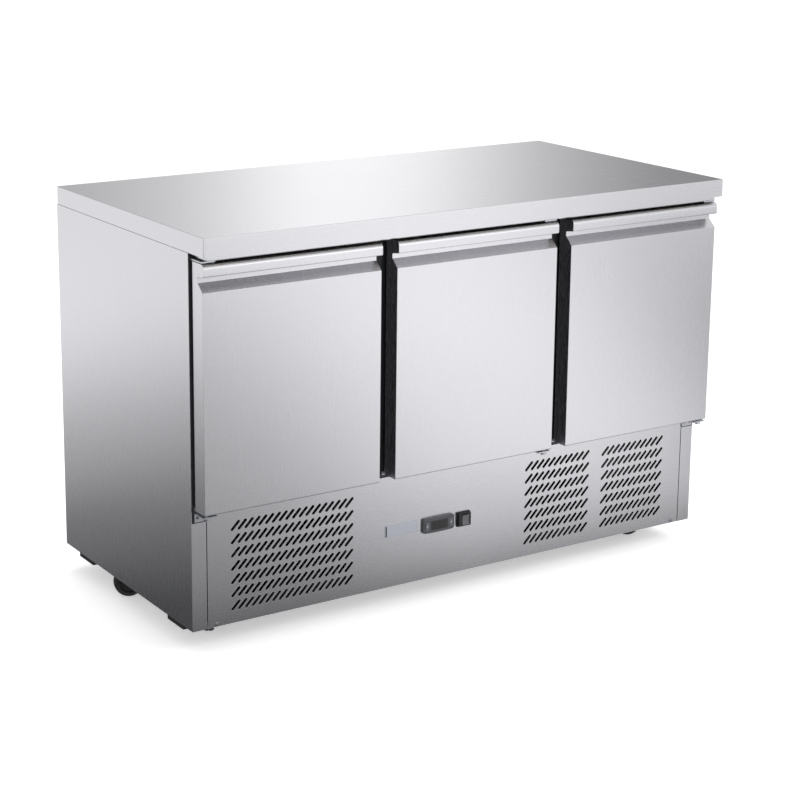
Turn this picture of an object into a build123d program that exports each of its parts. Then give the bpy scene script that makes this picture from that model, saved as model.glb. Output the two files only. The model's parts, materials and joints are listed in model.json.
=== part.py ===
from build123d import *
import os
from math import cos, radians, sin

# Three-door undercounter refrigerator with a stainless worktop.
# Millimetres. X runs to the right, Y to the back, Z up. The origin is on the floor,
# under the middle of the worktop.

os.makedirs("parts", exist_ok=True)


def save(builder, name):
    builder.part.label = name
    export_step(builder.part, f"parts/{name}.step")


# --- overall sizes -------------------------------------------------------------
width = 1365.0
depth = 700.0
body_height = 850.0
floor_gap = 55.0
sheet = 1.0
air_gap = 0.3

half_width = width / 2
worktop_front = -depth / 2
worktop_back = depth / 2
panel_bottom = floor_gap
worktop_top = floor_gap + body_height

# --- worktop ---------------------------------------------------------------------
worktop_thickness = 40.0
worktop_sheet = 1.2
worktop_corner_radius = 4.0
worktop_edge_radius = 1.6
lip_height = 10.0
lip_inset = 12.0
lip_width = 16.0
lip_return_width = 8.0
worktop_overhang = 68.0

worktop_bottom = worktop_top - worktop_thickness
lip_bottom = worktop_bottom - lip_height
face_y = worktop_front + worktop_overhang

# --- carcass ---------------------------------------------------------------------
panel_top_gap = 1.0
post_width = 34.5
post_height = 238.0
post_return = 14.0
foam_side = 44.0
foam_back = 50.0
foam_top = 42.0
liner_sheet = 1.0
frame_thickness = 10.0
frame_seat = 1.0
frame_stile = 41.5
top_rail = 49.0
bottom_rail = 43.0
mullion_width = 100.0
mullion_depth = 45.0
mullion_edge_radius = 6.0

carcass_top = worktop_bottom - panel_top_gap
panel_inner_x = half_width - sheet
back_sheet_y = worktop_back - worktop_sheet
post_top = panel_bottom + post_height

# --- front panel -------------------------------------------------------------------
front_panel_height = 258.0
front_panel_side_gap = 2.0
front_panel_flange = 14.0
front_panel_corner = 1.2
slot_length = 28.4
slot_width = 6.8
slot_angle = 45.0
slot_pitch_x = 16.55
slot_pitch_z = 29.5
slot_rows = 7
slot_rows_centre = 128.3
grilles = [(-438.3, 18), (272.6, 11), (496.7, 11)]
name_plate_size = (86.0, 28.0, 0.8)
name_plate_centre = (-161.5, 131.0)
controller_size = (84.0, 34.0)
controller_centre = (-64.0, 126.5)
switch_size = (38.0, 36.0)
switch_centre = (6.0, 125.0)
panel_screw_x = 625.5
panel_screw_height = 7.0

front_panel_top = panel_bottom + front_panel_height
front_panel_half = half_width - post_width - front_panel_side_gap

# --- doors -------------------------------------------------------------------------
door_gap = 40.0
door_side_inset = 5.0
door_bottom_height = 268.0
door_lip_clearance = 6.0
door_thickness = 42.0
door_sheet = 1.0
door_back_panel = 2.0
gasket_thickness = 6.8
gasket_width = 16.0
gasket_clearance = 0.2
handle_drop = 59.0
handle_recess_depth = 20.0
handle_slope_height = 18.0
handle_mouth = 11.0
handle_nose_reach = 5.0
handle_nose_height = 26.0
pivot_inset = 12.0
pivot_depth = 15.0
pin_radius = 4.0
pin_running = 0.08
pin_depth = 17.0
nose_top_radius = 10.0
nose_under_radius = 2.5
raised_inset = 44.0
raised_height = 5.0
raised_radius = 8.0
raised_taper = 25.0
door_bay_count = 3
pin_clearance = 1.0
inner_edge = 1.0
inner_corner = 2.0
gasket_corner = 3.0
foot_screw_half_pitch = 8.0
foot_screw_drop = 1.5

door_bottom = panel_bottom + door_bottom_height
door_top = lip_bottom - door_lip_clearance
door_back = face_y - gasket_clearance - gasket_thickness - door_back_panel
door_front = door_back - door_thickness
door_width = (width - 2 * door_side_inset - 2 * door_gap) / door_bay_count
pivot_y = door_front + pivot_depth
pin_hole_radius = pin_radius + pin_running

# Each door: name, left edge, side of its hinges (-1 left, +1 right).
door_pitch = door_width + door_gap
door_left_x = -half_width + door_side_inset
doors = [
    ("left", door_left_x, -1),
    ("middle", door_left_x + door_pitch, 1),
    ("right", door_left_x + 2 * door_pitch, 1),
]

# --- hinges ------------------------------------------------------------------------
bracket_sheet = 3.0
bracket_width = 32.0
bracket_reach = 46.0
bottom_bracket_gap = 4.0
top_bracket_gap = 1.5
bracket_up_flange = 11.0
bracket_down_flange = 23.0
hinge_nut_radius = 6.5
hinge_nut_height = 6.5
hinge_screw_radius = 3.0
hinge_screw_head = 2.0
hinge_screw_rise = 7.0
post_play = 1.0

# --- base and casters ----------------------------------------------------------------
wheel_radius = 35.0
wheel_width = 25.0
wheel_trail = 24.0
caster_rise = 24.0
caster_height = 2 * wheel_radius + caster_rise
caster_plate_size = 62.0
caster_plate_sheet = 3.0
caster_head_radius = 22.0
caster_head_height = 9.0
fork_sheet = 2.5
fork_gap = 1.6
axle_radius = 4.0
axle_head = 2.5
fork_foot = 9.0
caster_head_gap = 0.3
kingpin_radius = 5.0
kingpin_length = 7.0
wheel_edge_radius = 3.0
wheel_dish = 3.0
wheel_hub_radius = 11.0
wheel_web_share = 0.68
fork_shoulder = 0.8
fork_root = 1.0
kingpin_end_play = 0.5
axle_nut_share = 1.6
nut_sides = 6
pad_corner = 3.0
base_sheet = 2.5
base_side_gap = 0.5
base_play = 0.5
base_flange = 3.0
base_skirt = 30.0
front_caster_x = 596.0
rear_caster_x = 619.0
front_caster_y = -190.0
rear_caster_y = 96.0
pad_length = 75.0
pad_drop = 10.0
pad_width = 20.0
front_pad_y = -200.0
rear_pad_y = 244.0
# Casters: name, x, y, heading of the wheel behind its kingpin in degrees from +X.
casters = [
    ("front_left", -front_caster_x, front_caster_y, 62.0),
    ("front_right", front_caster_x, front_caster_y, 118.0),
    ("rear_left", -rear_caster_x, rear_caster_y, 165.0),
    ("rear_right", rear_caster_x, rear_caster_y, 110.0),
]

# --- inside ------------------------------------------------------------------------
shelf_height = 560.0
shelf_wire = 3.0
shelf_rod = 6.0
shelf_wires = 13
shelf_width = 330.0
shelf_depth = 500.0
shelf_front_gap = 22.0
runner_sheet = 1.5
runner_width = 22.0
runner_rise = 20.0
pilaster_width = 18.0
pilaster_hold = 8.0
pilaster_end_gap = 15.0
wire_bite = 0.5

# --- cooling machinery ---------------------------------------------------------------
fan_radius = 78.0
fan_hub_radius = 18.0
condenser_centre_x = -438.0
condenser_width = 270.0
condenser_depth = 44.0
compressor_x = 300.0
compressor_y = 40.0
compressor_radius = 76.0
compressor_height = 150.0
evaporator_width = 310.0
evaporator_height = 190.0
evaporator_rise = 42.0
evaporator_fan_x = 85.0
evaporator_hub = 16.0
condenser_hub = 20.0
coil_margin = 10.0
fin_sheet = 1.0
plate_sheet = 2.0
shroud_ring = 24.0
fan_tip_gap = 4.0
shroud_margin = 5.0
condenser_height = 2 * (fan_radius + fan_tip_gap + plate_sheet + shroud_margin)
shaft_radius = 4.0
shaft_hold = 18.0
motor_gap = 4.0
motor_radius = 32.0
blade_count = 5
blade_share = 0.62
blade_sheet = 1.8
blade_angle = 26.0
compressor_lift = 12.0
evaporator_depth = 62.0
evaporator_fan_radius = 62.0
pipe_radius = 4.0
condenser_gap = 4.0
condenser_fin_pitch = 9.0
condenser_tube_rows = 6
evaporator_fin_pitch = 8.0
evaporator_tube_rows = 4
evaporator_coil_inset = 12.0
evaporator_side_inset = 10.0
fin_end_gap = 4.0
fin_side_gap = 2.0
blade_root = 2.0
fan_setback = 2.0
evaporator_fan_setback = 14.0
evaporator_hub_trim = 3.0
evaporator_motor_trim = 6.0
condenser_motor_length = 55.0
motor_foot_width = 40.0
motor_foot_length = 24.0
motor_foot_rise = 20.0
cover_slot = (110.0, 8.0)
cover_slot_pitch = 20.0
cover_slot_rows = 7
cover_slot_shift = 8.0
compressor_edge_share = 0.55
compressor_foot = (200.0, 110.0)
compressor_mount_pitch = (176.0, 88.0)
compressor_mount_radius = 8.0
terminal_box = (36.0, 60.0, 50.0)
discharge_share = 0.8
liquid_share = 0.15
suction_share = 0.6
capillary_share = 0.6
line_offset = 70.0
discharge_offset = 90.0
suction_offset = 60.0
suction_run_y = 265.0
drier_radius = 10.0
drier_chamfer = 5.0
drier_tail = 60.0
drier_start = 60.0
drier_length = 90.0
pipe_bend = 24.0
gland_length = 30.0
gland_flange = 16.0
gland_flange_sheet = 6.0
gland_bore_share = 2.4


# ================================ worktop ==============================================
with BuildPart() as worktop_skin:
    with BuildSketch(Plane.XY.offset(worktop_bottom)):
        RectangleRounded(width, depth, worktop_corner_radius)
    extrude(amount=worktop_thickness)
    fillet(worktop_skin.faces().sort_by(Axis.Z)[-1].edges(), worktop_edge_radius)
    offset(amount=-worktop_sheet, openings=worktop_skin.faces().sort_by(Axis.Z)[0])
save(worktop_skin, "worktop_skin")

board_width = width - 2 * worktop_sheet - 2 * air_gap
board_depth = depth - 2 * worktop_sheet - 2 * air_gap
with BuildPart() as worktop_board:
    with BuildSketch(Plane.XY.offset(worktop_bottom)):
        RectangleRounded(board_width, board_depth, worktop_corner_radius)
    extrude(amount=worktop_thickness - worktop_sheet)
    chamfer(worktop_board.faces().sort_by(Axis.Z)[-1].edges(), worktop_edge_radius / 2)
save(worktop_board, "worktop_board")

lip_half = half_width - lip_inset
lip_front = worktop_front + lip_inset
with BuildPart() as worktop_lip:
    with BuildSketch(Plane.XY.offset(lip_bottom)):
        with BuildLine():
            Polyline(
                (-lip_half, face_y - air_gap),
                (-lip_half, lip_front),
                (lip_half, lip_front),
                (lip_half, face_y - air_gap),
                (lip_half - lip_return_width, face_y - air_gap),
                (lip_half - lip_return_width, lip_front + lip_width),
                (-lip_half + lip_return_width, lip_front + lip_width),
                (-lip_half + lip_return_width, face_y - air_gap),
                close=True,
            )
        make_face()
    extrude(amount=lip_height)
    fillet(worktop_lip.edges().filter_by(Axis.Z).sort_by(Axis.Y)[:2], lip_width / 4)
    chamfer(worktop_lip.faces().sort_by(Axis.Z)[0].edges().sort_by(Axis.Y)[0], lip_height / 5)
save(worktop_lip, "worktop_lip")

# ================================ carcass ==============================================
panel_height = carcass_top - panel_bottom


def side_panel(side):
    """Outer sheet, folded round the front corner below the doors as the corner post."""
    outer = side * half_width
    inner = outer - side * sheet
    with BuildPart() as panel:
        with BuildSketch(Plane.XY.offset(panel_bottom)):
            with BuildLine():
                Polyline(
                    (outer, back_sheet_y),
                    (outer, face_y),
                    (inner, face_y),
                    (inner, back_sheet_y),
                    close=True,
                )
            make_face()
        extrude(amount=panel_height)
        with BuildSketch(Plane.XY.offset(panel_bottom)):
            with BuildLine():
                Polyline(
                    (outer, face_y),
                    (outer - side * post_width, face_y),
                    (outer - side * post_width, face_y + post_return),
                    (outer - side * (post_width - sheet), face_y + post_return),
                    (outer - side * (post_width - sheet), face_y + sheet),
                    (outer, face_y + sheet),
                    close=True,
                )
            make_face()
        extrude(amount=post_height)
    return panel


side_panel_left = side_panel(-1)
save(side_panel_left, "side_panel_left")
side_panel_right = side_panel(1)
save(side_panel_right, "side_panel_right")

vent_slot = (150.0, 8.0)
vent_pitch = 24.0
vent_rows = 6
vent_centres = (-400.0, 0.0, 400.0)
gland_hole_radius = 11.0
gland_x = 560.0
machine_mid = (caster_height + post_top) / 2
with BuildPart() as back_panel:
    with BuildSketch(Plane.XZ.offset(-worktop_back)):
        with Locations((0, (panel_bottom + carcass_top) / 2)):
            Rectangle(width, panel_height)
        with Locations(*[(x, machine_mid) for x in vent_centres]):
            with GridLocations(1, vent_pitch, 1, vent_rows):
                SlotOverall(*vent_slot, mode=Mode.SUBTRACT)
        with Locations((gland_x, machine_mid)):
            Circle(gland_hole_radius, mode=Mode.SUBTRACT)
    extrude(amount=worktop_sheet)
save(back_panel, "back_panel")

liner_outer_x = panel_inner_x - foam_side
liner_back_y = back_sheet_y - foam_back
foam_bottom_z = front_panel_top + frame_seat
liner_bottom_z = foam_bottom_z + bottom_rail - liner_sheet
liner_top_z = carcass_top - foam_top
foam_front_y = face_y + frame_thickness
foam_depth = back_sheet_y - foam_front_y

# Foam fields: two sides, and a trough that runs over the floor, up the back and along the top.
with BuildPart() as insulation:
    for side in (-1, 1):
        with Locations((side * (panel_inner_x - foam_side / 2), foam_front_y + foam_depth / 2,
                        (foam_bottom_z + carcass_top) / 2)):
            Box(foam_side, foam_depth, carcass_top - foam_bottom_z)
with BuildPart() as foam_trough:
    with BuildSketch(Plane.YZ.offset(-liner_outer_x)):
        with BuildLine():
            Polyline(
                (foam_front_y, foam_bottom_z),
                (back_sheet_y, foam_bottom_z),
                (back_sheet_y, carcass_top),
                (foam_front_y, carcass_top),
                (foam_front_y, liner_top_z),
                (liner_back_y, liner_top_z),
                (liner_back_y, liner_bottom_z),
                (foam_front_y, liner_bottom_z),
                close=True,
            )
        make_face()
    extrude(amount=2 * liner_outer_x)
foam = Compound(children=[*insulation.part.solids(), *foam_trough.part.solids()])
foam.label = "insulation"
export_step(foam, "parts/insulation.step")

liner_mid_y = (foam_front_y + liner_back_y) / 2
liner_mid_z = (liner_bottom_z + liner_top_z) / 2
liner_depth = liner_back_y - foam_front_y
liner_height = liner_top_z - liner_bottom_z
with BuildPart() as inner_liner:
    with Locations((0, liner_mid_y, liner_mid_z)):
        Box(2 * liner_outer_x, liner_depth, liner_height)
    offset(amount=-liner_sheet, openings=inner_liner.faces().sort_by(Axis.Y)[0])
save(inner_liner, "inner_liner")

# The frame that the gaskets close on: stiles, rails and two mullions.
opening_low = front_panel_top + frame_seat + bottom_rail
opening_high = carcass_top - top_rail
opening_half = panel_inner_x - frame_stile
with BuildPart() as door_frame:
    with BuildSketch(Plane.XZ.offset(-face_y)):
        with Locations((0, (post_top + carcass_top) / 2)):
            Rectangle(2 * panel_inner_x, carcass_top - post_top)
        with Locations((0, (opening_low + opening_high) / 2)):
            Rectangle(2 * opening_half, opening_high - opening_low, mode=Mode.SUBTRACT)
        with Locations((0, (post_top + front_panel_top + frame_seat) / 2)):
            Rectangle(
                2 * (half_width - post_width + sheet),
                front_panel_top + frame_seat - post_top,
                mode=Mode.SUBTRACT,
            )
    extrude(amount=-frame_thickness)
save(door_frame, "door_frame")

mullion_x = door_width / 2 + door_gap / 2
for side, label in ((-1, "left"), (1, "right")):
    with BuildPart() as mullion:
        with BuildSketch(Plane.XY.offset(opening_low)):
            with Locations((side * mullion_x, face_y + mullion_depth / 2)):
                Rectangle(mullion_width, mullion_depth)
        extrude(amount=opening_high - opening_low)
        fillet(mullion.edges().filter_by(Axis.Z).sort_by(Axis.Y)[-2:], mullion_edge_radius)
    save(mullion, f"mullion_{label}")

# ================================ front panel ============================================
panel_mid_z = panel_bottom + front_panel_height / 2
controller_hole = (72.0, 28.0)
switch_hole = (28.0, 24.0)
controller_z = panel_bottom + controller_centre[1]
switch_z = panel_bottom + switch_centre[1]
panel_screw_z = panel_bottom + panel_screw_height
panel_screw_hole = 2.6
with BuildPart() as front_panel:
    with BuildSketch(Plane.XZ.offset(-face_y)):
        with Locations((0, panel_mid_z)):
            Rectangle(2 * front_panel_half, front_panel_height)
    extrude(amount=-front_panel_flange)
    fillet(front_panel.edges().filter_by(Axis.X).group_by(Axis.Y)[0], front_panel_corner)
    offset(amount=-sheet, openings=front_panel.faces().sort_by(Axis.Y)[-1])
    with BuildSketch(Plane.XZ.offset(-face_y)):
        for centre_x, columns in grilles:
            with Locations((centre_x, panel_bottom + slot_rows_centre)):
                with GridLocations(slot_pitch_x, slot_pitch_z, columns, slot_rows):
                    SlotOverall(slot_length, slot_width, rotation=slot_angle)
        with Locations((controller_centre[0], controller_z)):
            Rectangle(*controller_hole)
        with Locations((switch_centre[0], switch_z)):
            Rectangle(*switch_hole)
        with Locations((-panel_screw_x, panel_screw_z), (panel_screw_x, panel_screw_z)):
            Circle(panel_screw_hole)
    extrude(amount=-2 * sheet, mode=Mode.SUBTRACT)
save(front_panel, "front_panel")

screw_head_radius = 4.5
screw_head_height = 2.5
screw_length = 12.0
screw_crown = 1.6
screw_play = 0.1
plate_corner = 1.5
with BuildPart() as panel_screws:
    for side in (-1, 1):
        with BuildSketch(Plane.XZ.offset(-face_y)):
            with Locations((side * panel_screw_x, panel_screw_z)):
                Circle(screw_head_radius)
        extrude(amount=screw_head_height)
        with BuildSketch(Plane.XZ.offset(-face_y)):
            with Locations((side * panel_screw_x, panel_screw_z)):
                Circle(panel_screw_hole - screw_play)
        extrude(amount=-screw_length)
    fillet(panel_screws.edges().filter_by(GeomType.CIRCLE).group_by(Axis.Y)[0], screw_crown)

with BuildPart() as name_plate:
    with BuildSketch(Plane.XZ.offset(-face_y)):
        with Locations((name_plate_centre[0], panel_bottom + name_plate_centre[1])):
            RectangleRounded(name_plate_size[0], name_plate_size[1], plate_corner)
    extrude(amount=name_plate_size[2])
save(name_plate, "name_plate")

# Controller: bowed bezel, window and two keys, one at each side of the window.
bezel_edge = 6.0
bezel_crown = 9.0
window_size = (46.0, 22.0)
window_sheet = 2.0
key_size = (11.0, 20.0)
key_offset = 32.0
key_depth = 4.0
key_proud = 0.8
key_gap = 0.35
key_travel = 0.8
key_crown = 1.6
key_seat_play = 0.2
key_edge = 0.8
bezel_corner = 5.0
bezel_softening = 1.2
window_recess = 1.0
controller_body_depth = 58.0
bezel_half = controller_size[0] / 2
control_x = controller_centre[0]
with BuildPart() as controller_housing:
    with BuildSketch(Plane.XY.offset(controller_z - controller_size[1] / 2)):
        with BuildLine():
            Line((control_x - bezel_half, face_y), (control_x - bezel_half, face_y - bezel_edge))
            ThreePointArc(
                (control_x - bezel_half, face_y - bezel_edge),
                (control_x, face_y - bezel_crown),
                (control_x + bezel_half, face_y - bezel_edge),
            )
            Line((control_x + bezel_half, face_y - bezel_edge), (control_x + bezel_half, face_y))
            Line((control_x + bezel_half, face_y), (control_x - bezel_half, face_y))
        make_face()
    extrude(amount=controller_size[1])
    fillet(controller_housing.edges().filter_by(Axis.Y), bezel_corner)
    fillet(controller_housing.faces().sort_by(Axis.Y)[0].edges(), bezel_softening)
    with Locations((control_x, face_y + controller_body_depth / 2, controller_z)):
        Box(controller_hole[0] - 1, controller_body_depth, controller_hole[1] - 1)
    with Locations((control_x, face_y - bezel_crown, controller_z)):
        Box(window_size[0], 2 * (window_sheet + window_recess), window_size[1], mode=Mode.SUBTRACT)
    with Locations(
        (control_x - key_offset, face_y - bezel_edge, controller_z),
        (control_x + key_offset, face_y - bezel_edge, controller_z),
    ):
        Box(key_size[0], 2 * (key_depth + window_recess), key_size[1], mode=Mode.SUBTRACT)
save(controller_housing, "controller_housing")

with BuildPart() as controller_window:
    with Locations((control_x, face_y - bezel_crown + window_sheet, controller_z)):
        Box(window_size[0], window_sheet, window_size[1])
save(controller_window, "controller_window")

key_front_y = face_y - bezel_edge - key_crown - key_proud
key_back_y = face_y - bezel_edge + key_depth + window_recess - key_travel - key_seat_play
for side, label in ((-1, "left"), (1, "right")):
    with BuildPart() as key:
        with Locations((control_x + side * key_offset, (key_front_y + key_back_y) / 2, controller_z)):
            Box(key_size[0] - 2 * key_gap, key_back_y - key_front_y, key_size[1] - 2 * key_gap)
        fillet(key.faces().sort_by(Axis.Y)[0].edges(), key_edge)
    save(key, f"controller_key_{label}")

# Power switch: raised bezel with a rocker on a cross pin.
switch_rise = 9.0
rocker_size = (17.0, 25.0)
rocker_gap = 0.5
rocker_axle = 2.0
rocker_axle_play = 0.06
rocker_axle_length = 3.0
rocker_pivot_depth = 2.5
rocker_well_play = 1.2
rocker_thick = 7.0
rocker_rim = 0.6
rocker_bow = 1.6
rocker_top_half = 11.6
rocker_waist_half = 9.6
rocker_waist_depth = 2.0
rocker_keel_depth = 5.0
switch_corner = 4.0
switch_taper = 20.0
switch_fit = 1.0
switch_body_depth = 24.0
switch_x = switch_centre[0]
rocker_pivot_y = face_y - rocker_pivot_depth
with BuildPart() as switch_bezel:
    with BuildSketch(Plane.XZ.offset(-face_y)):
        with Locations((switch_x, switch_z)):
            RectangleRounded(*switch_size, switch_corner)
    extrude(amount=switch_rise, taper=switch_taper)
    with Locations((switch_x, face_y + switch_body_depth / 2, switch_z)):
        Box(switch_hole[0] - switch_fit, switch_body_depth, switch_hole[1] - switch_fit)
    with BuildSketch(Plane.YZ.offset(switch_x - rocker_size[0] / 2 - rocker_gap)):
        with Locations((rocker_pivot_y, switch_z)):
            Circle(rocker_size[1] / 2 + rocker_well_play)
        with Locations((rocker_pivot_y - switch_rise, switch_z)):
            Rectangle(2 * switch_rise, rocker_size[1] + 2 * rocker_well_play)
    extrude(amount=rocker_size[0] + 2 * rocker_gap, mode=Mode.SUBTRACT)
    for side in (-1, 1):
        with BuildSketch(Plane.YZ.offset(switch_x + side * (rocker_size[0] / 2 + rocker_gap))):
            with Locations((rocker_pivot_y, switch_z)):
                Circle(rocker_axle)
        extrude(amount=-side * rocker_axle_length)
save(switch_bezel, "switch_bezel")

rocker_top = rocker_pivot_y - rocker_thick - rocker_rim
rocker_rim_y = rocker_top - rocker_bow
with BuildPart() as switch_rocker:
    with BuildSketch(Plane.YZ.offset(switch_x - rocker_size[0] / 2)):
        with BuildLine():
            Polyline(
                (rocker_rim_y, switch_z - rocker_top_half),
                (rocker_pivot_y + rocker_waist_depth, switch_z - rocker_waist_half),
                (rocker_pivot_y + rocker_keel_depth, switch_z),
                (rocker_pivot_y + rocker_waist_depth, switch_z + rocker_waist_half),
                (rocker_rim_y, switch_z + rocker_top_half),
            )
            ThreePointArc(
                (rocker_rim_y, switch_z + rocker_top_half),
                (rocker_top, switch_z),
                (rocker_rim_y, switch_z - rocker_top_half),
            )
        make_face()
    extrude(amount=rocker_size[0])
    with BuildSketch(Plane.YZ.offset(switch_x - rocker_size[0] / 2)):
        with Locations((rocker_pivot_y, switch_z)):
            Circle(rocker_axle + rocker_axle_play)
    extrude(amount=rocker_axle_length + air_gap, mode=Mode.SUBTRACT)
    with BuildSketch(Plane.YZ.offset(switch_x + rocker_size[0] / 2)):
        with Locations((rocker_pivot_y, switch_z)):
            Circle(rocker_axle + rocker_axle_play)
    extrude(amount=-rocker_axle_length - air_gap, mode=Mode.SUBTRACT)
save(switch_rocker, "switch_rocker")

# ================================ doors =================================================
handle_corner_z = door_top - handle_drop
recess_y = door_front + handle_recess_depth
slope_top_z = handle_corner_z + handle_slope_height
nose_under_z = door_top - handle_nose_height
nose_y = door_front - handle_nose_reach


def door_outline(extra_back):
    """Side outline of a door in the YZ plane, front face, finger recess and nose."""
    return [
        (door_back + extra_back, door_bottom),
        (door_front, door_bottom),
        (door_front, handle_corner_z),
        (recess_y, slope_top_z),
        (recess_y, slope_top_z + handle_mouth),
        (nose_y, nose_under_z),
        (nose_y, door_top),
        (door_back + extra_back, door_top),
    ]


def door_prism(left_x, span, inward):
    """The door's outline run across its width, drawn in by the sheet for the core."""
    with BuildPart() as prism:
        with BuildSketch(Plane.YZ.offset(left_x)) as section:
            with BuildLine():
                Polyline(*door_outline(inward), close=True)
            make_face()
            nose = [v for v in section.vertices() if abs(v.X - nose_y) < air_gap]
            low_corner, high_corner = sorted(nose, key=lambda v: v.Y)
            fillet(high_corner, nose_top_radius)
            fillet(low_corner, nose_under_radius)
            if inward:
                offset(amount=-inward, mode=Mode.REPLACE)
        extrude(amount=span)
    return prism.part


def gasket_ring(left_x, inset, ring, near_y, thick):
    """A rectangular seal on the back of a door."""
    centre_x = left_x + door_width / 2
    outer = (door_width - 2 * inset, door_top - door_bottom - 2 * inset)
    with BuildPart() as seal:
        with BuildSketch(Plane.XZ.offset(-near_y)):
            with Locations((centre_x, (door_bottom + door_top) / 2)):
                RectangleRounded(outer[0], outer[1], gasket_corner)
                Rectangle(outer[0] - 2 * ring, outer[1] - 2 * ring, mode=Mode.SUBTRACT)
        extrude(amount=-thick)
    return seal


for name, left_x, hinge_side in doors:
    hinge_edge = left_x if hinge_side < 0 else left_x + door_width
    pivot_x = hinge_edge - hinge_side * pivot_inset
    outer_prism = door_prism(left_x, door_width, 0)
    inner_prism = door_prism(left_x + door_sheet, door_width - 2 * door_sheet, door_sheet)
    pin_holes = [
        Plane.XY.offset(door_bottom) * Pos(pivot_x, pivot_y, pin_depth / 2)
        * Cylinder(pin_hole_radius, pin_depth, mode=Mode.PRIVATE),
        Plane.XY.offset(door_top) * Pos(pivot_x, pivot_y, -pin_depth / 2)
        * Cylinder(pin_hole_radius, pin_depth, mode=Mode.PRIVATE),
    ]
    with BuildPart() as door_skin:
        add(outer_prism)
        add(inner_prism, mode=Mode.SUBTRACT)
        add(pin_holes, mode=Mode.SUBTRACT)
    save(door_skin, f"door_skin_{name}")

    with BuildPart() as door_core:
        add(inner_prism)
        add(pin_holes, mode=Mode.SUBTRACT)
    save(door_core, f"door_core_{name}")

    with BuildPart() as door_inner:
        with BuildSketch(Plane.XZ.offset(-door_back)):
            with Locations((left_x + door_width / 2, (door_bottom + door_top) / 2)):
                RectangleRounded(
                    door_width - 2 * inner_edge,
                    door_top - door_bottom - 2 * inner_edge,
                    inner_corner,
                )
        extrude(amount=-door_back_panel)
        with BuildSketch(Plane.XZ.offset(-(door_back + door_back_panel))):
            with Locations((left_x + door_width / 2, (door_bottom + door_top) / 2)):
                RectangleRounded(
                    door_width - 2 * raised_inset,
                    door_top - door_bottom - 2 * raised_inset,
                    raised_radius,
                )
        extrude(amount=-raised_height, taper=raised_taper)
    save(door_inner, f"door_inner_{name}")

    door_gasket = gasket_ring(
        left_x, pivot_inset, gasket_width, door_back + door_back_panel, gasket_thickness
    )
    save(door_gasket, f"door_gasket_{name}")

# ================================ hinges ================================================
top_bracket_z = door_top + top_bracket_gap
bottom_bracket_z = door_bottom - bottom_bracket_gap
bracket_mid_y = face_y - bracket_reach / 2
with BuildPart() as top_hinges:
    for name, left_x, hinge_side in doors:
        hinge_edge = left_x if hinge_side < 0 else left_x + door_width
        pivot_x = hinge_edge - hinge_side * pivot_inset
        bracket_x = hinge_edge - hinge_side * bracket_width / 2
        with Locations((bracket_x, bracket_mid_y, top_bracket_z + bracket_sheet / 2)):
            Box(bracket_width, bracket_reach, bracket_sheet)
        flange_x = bracket_x - hinge_side * bracket_width / 4
        with Locations((flange_x, face_y - bracket_sheet / 2, top_bracket_z + bracket_up_flange / 2)):
            Box(bracket_width / 2, bracket_sheet, bracket_up_flange)
        with Locations((pivot_x, pivot_y, top_bracket_z + bracket_sheet)):
            Cylinder(
                pin_radius,
                bracket_sheet + top_bracket_gap + pin_depth - pin_clearance,
                align=(Align.CENTER, Align.CENTER, Align.MAX),
            )
save(top_hinges, "hinge_brackets_top")

with BuildPart() as bottom_hinges:
    for name, left_x, hinge_side in doors:
        hinge_edge = left_x if hinge_side < 0 else left_x + door_width
        pivot_x = hinge_edge - hinge_side * pivot_inset
        bracket_x = hinge_edge - hinge_side * bracket_width / 2
        at_corner = abs(hinge_edge) > front_panel_half
        with Locations((bracket_x, bracket_mid_y, bottom_bracket_z - bracket_sheet / 2)):
            Box(bracket_width, bracket_reach, bracket_sheet)
        with Locations((bracket_x, face_y - bracket_sheet / 2, bottom_bracket_z + bracket_up_flange / 2)):
            Box(bracket_width, bracket_sheet, bracket_up_flange)
        if at_corner:
            flange_z = bottom_bracket_z - bracket_down_flange / 2
            with Locations((bracket_x, face_y - bracket_sheet / 2, flange_z)):
                Box(bracket_width - 2 * post_play, bracket_sheet, bracket_down_flange)
        with Locations((pivot_x, pivot_y, bottom_bracket_z - bracket_sheet)):
            Cylinder(
                pin_radius,
                bracket_sheet + bottom_bracket_gap + pin_depth - pin_clearance,
                align=(Align.CENTER, Align.CENTER, Align.MIN),
            )
            Cylinder(
                hinge_nut_radius,
                hinge_nut_height,
                align=(Align.CENTER, Align.CENTER, Align.MAX),
            )
save(bottom_hinges, "hinge_brackets_bottom")

with BuildPart() as hinge_screws:
    for name, left_x, hinge_side in doors:
        hinge_edge = left_x if hinge_side < 0 else left_x + door_width
        bracket_x = hinge_edge - hinge_side * bracket_width / 2
        screw_spots = [(bracket_x - hinge_side * bracket_width / 4, top_bracket_z + hinge_screw_rise)]
        if abs(hinge_edge) > front_panel_half:
            low = bottom_bracket_z - bracket_down_flange / 2 - foot_screw_drop
            screw_spots += [(bracket_x + dx * foot_screw_half_pitch, low) for dx in (-1, 1)]
        with BuildSketch(Plane.XZ.offset(-(face_y - bracket_sheet))):
            with Locations(*screw_spots):
                Circle(hinge_screw_radius)
        extrude(amount=hinge_screw_head)
screws = Compound(children=[*panel_screws.part.solids(), *hinge_screws.part.solids()])
screws.label = "cover_screws"
export_step(screws, "parts/cover_screws.step")

# ================================ base and casters ======================================
base_z = caster_height
base_front_y = face_y + front_panel_flange + base_play
with BuildPart() as base_pan:
    with Locations((0, (base_front_y + back_sheet_y - base_play) / 2, base_z + base_sheet / 2)):
        Box(2 * (panel_inner_x - base_side_gap), back_sheet_y - base_front_y - base_play, base_sheet)
    for edge_y in (base_front_y + base_flange, back_sheet_y - base_flange):
        with Locations((0, edge_y, base_z - base_skirt / 2)):
            Box(2 * (panel_inner_x - base_side_gap), base_sheet, base_skirt)
save(base_pan, "base_pan")

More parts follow.
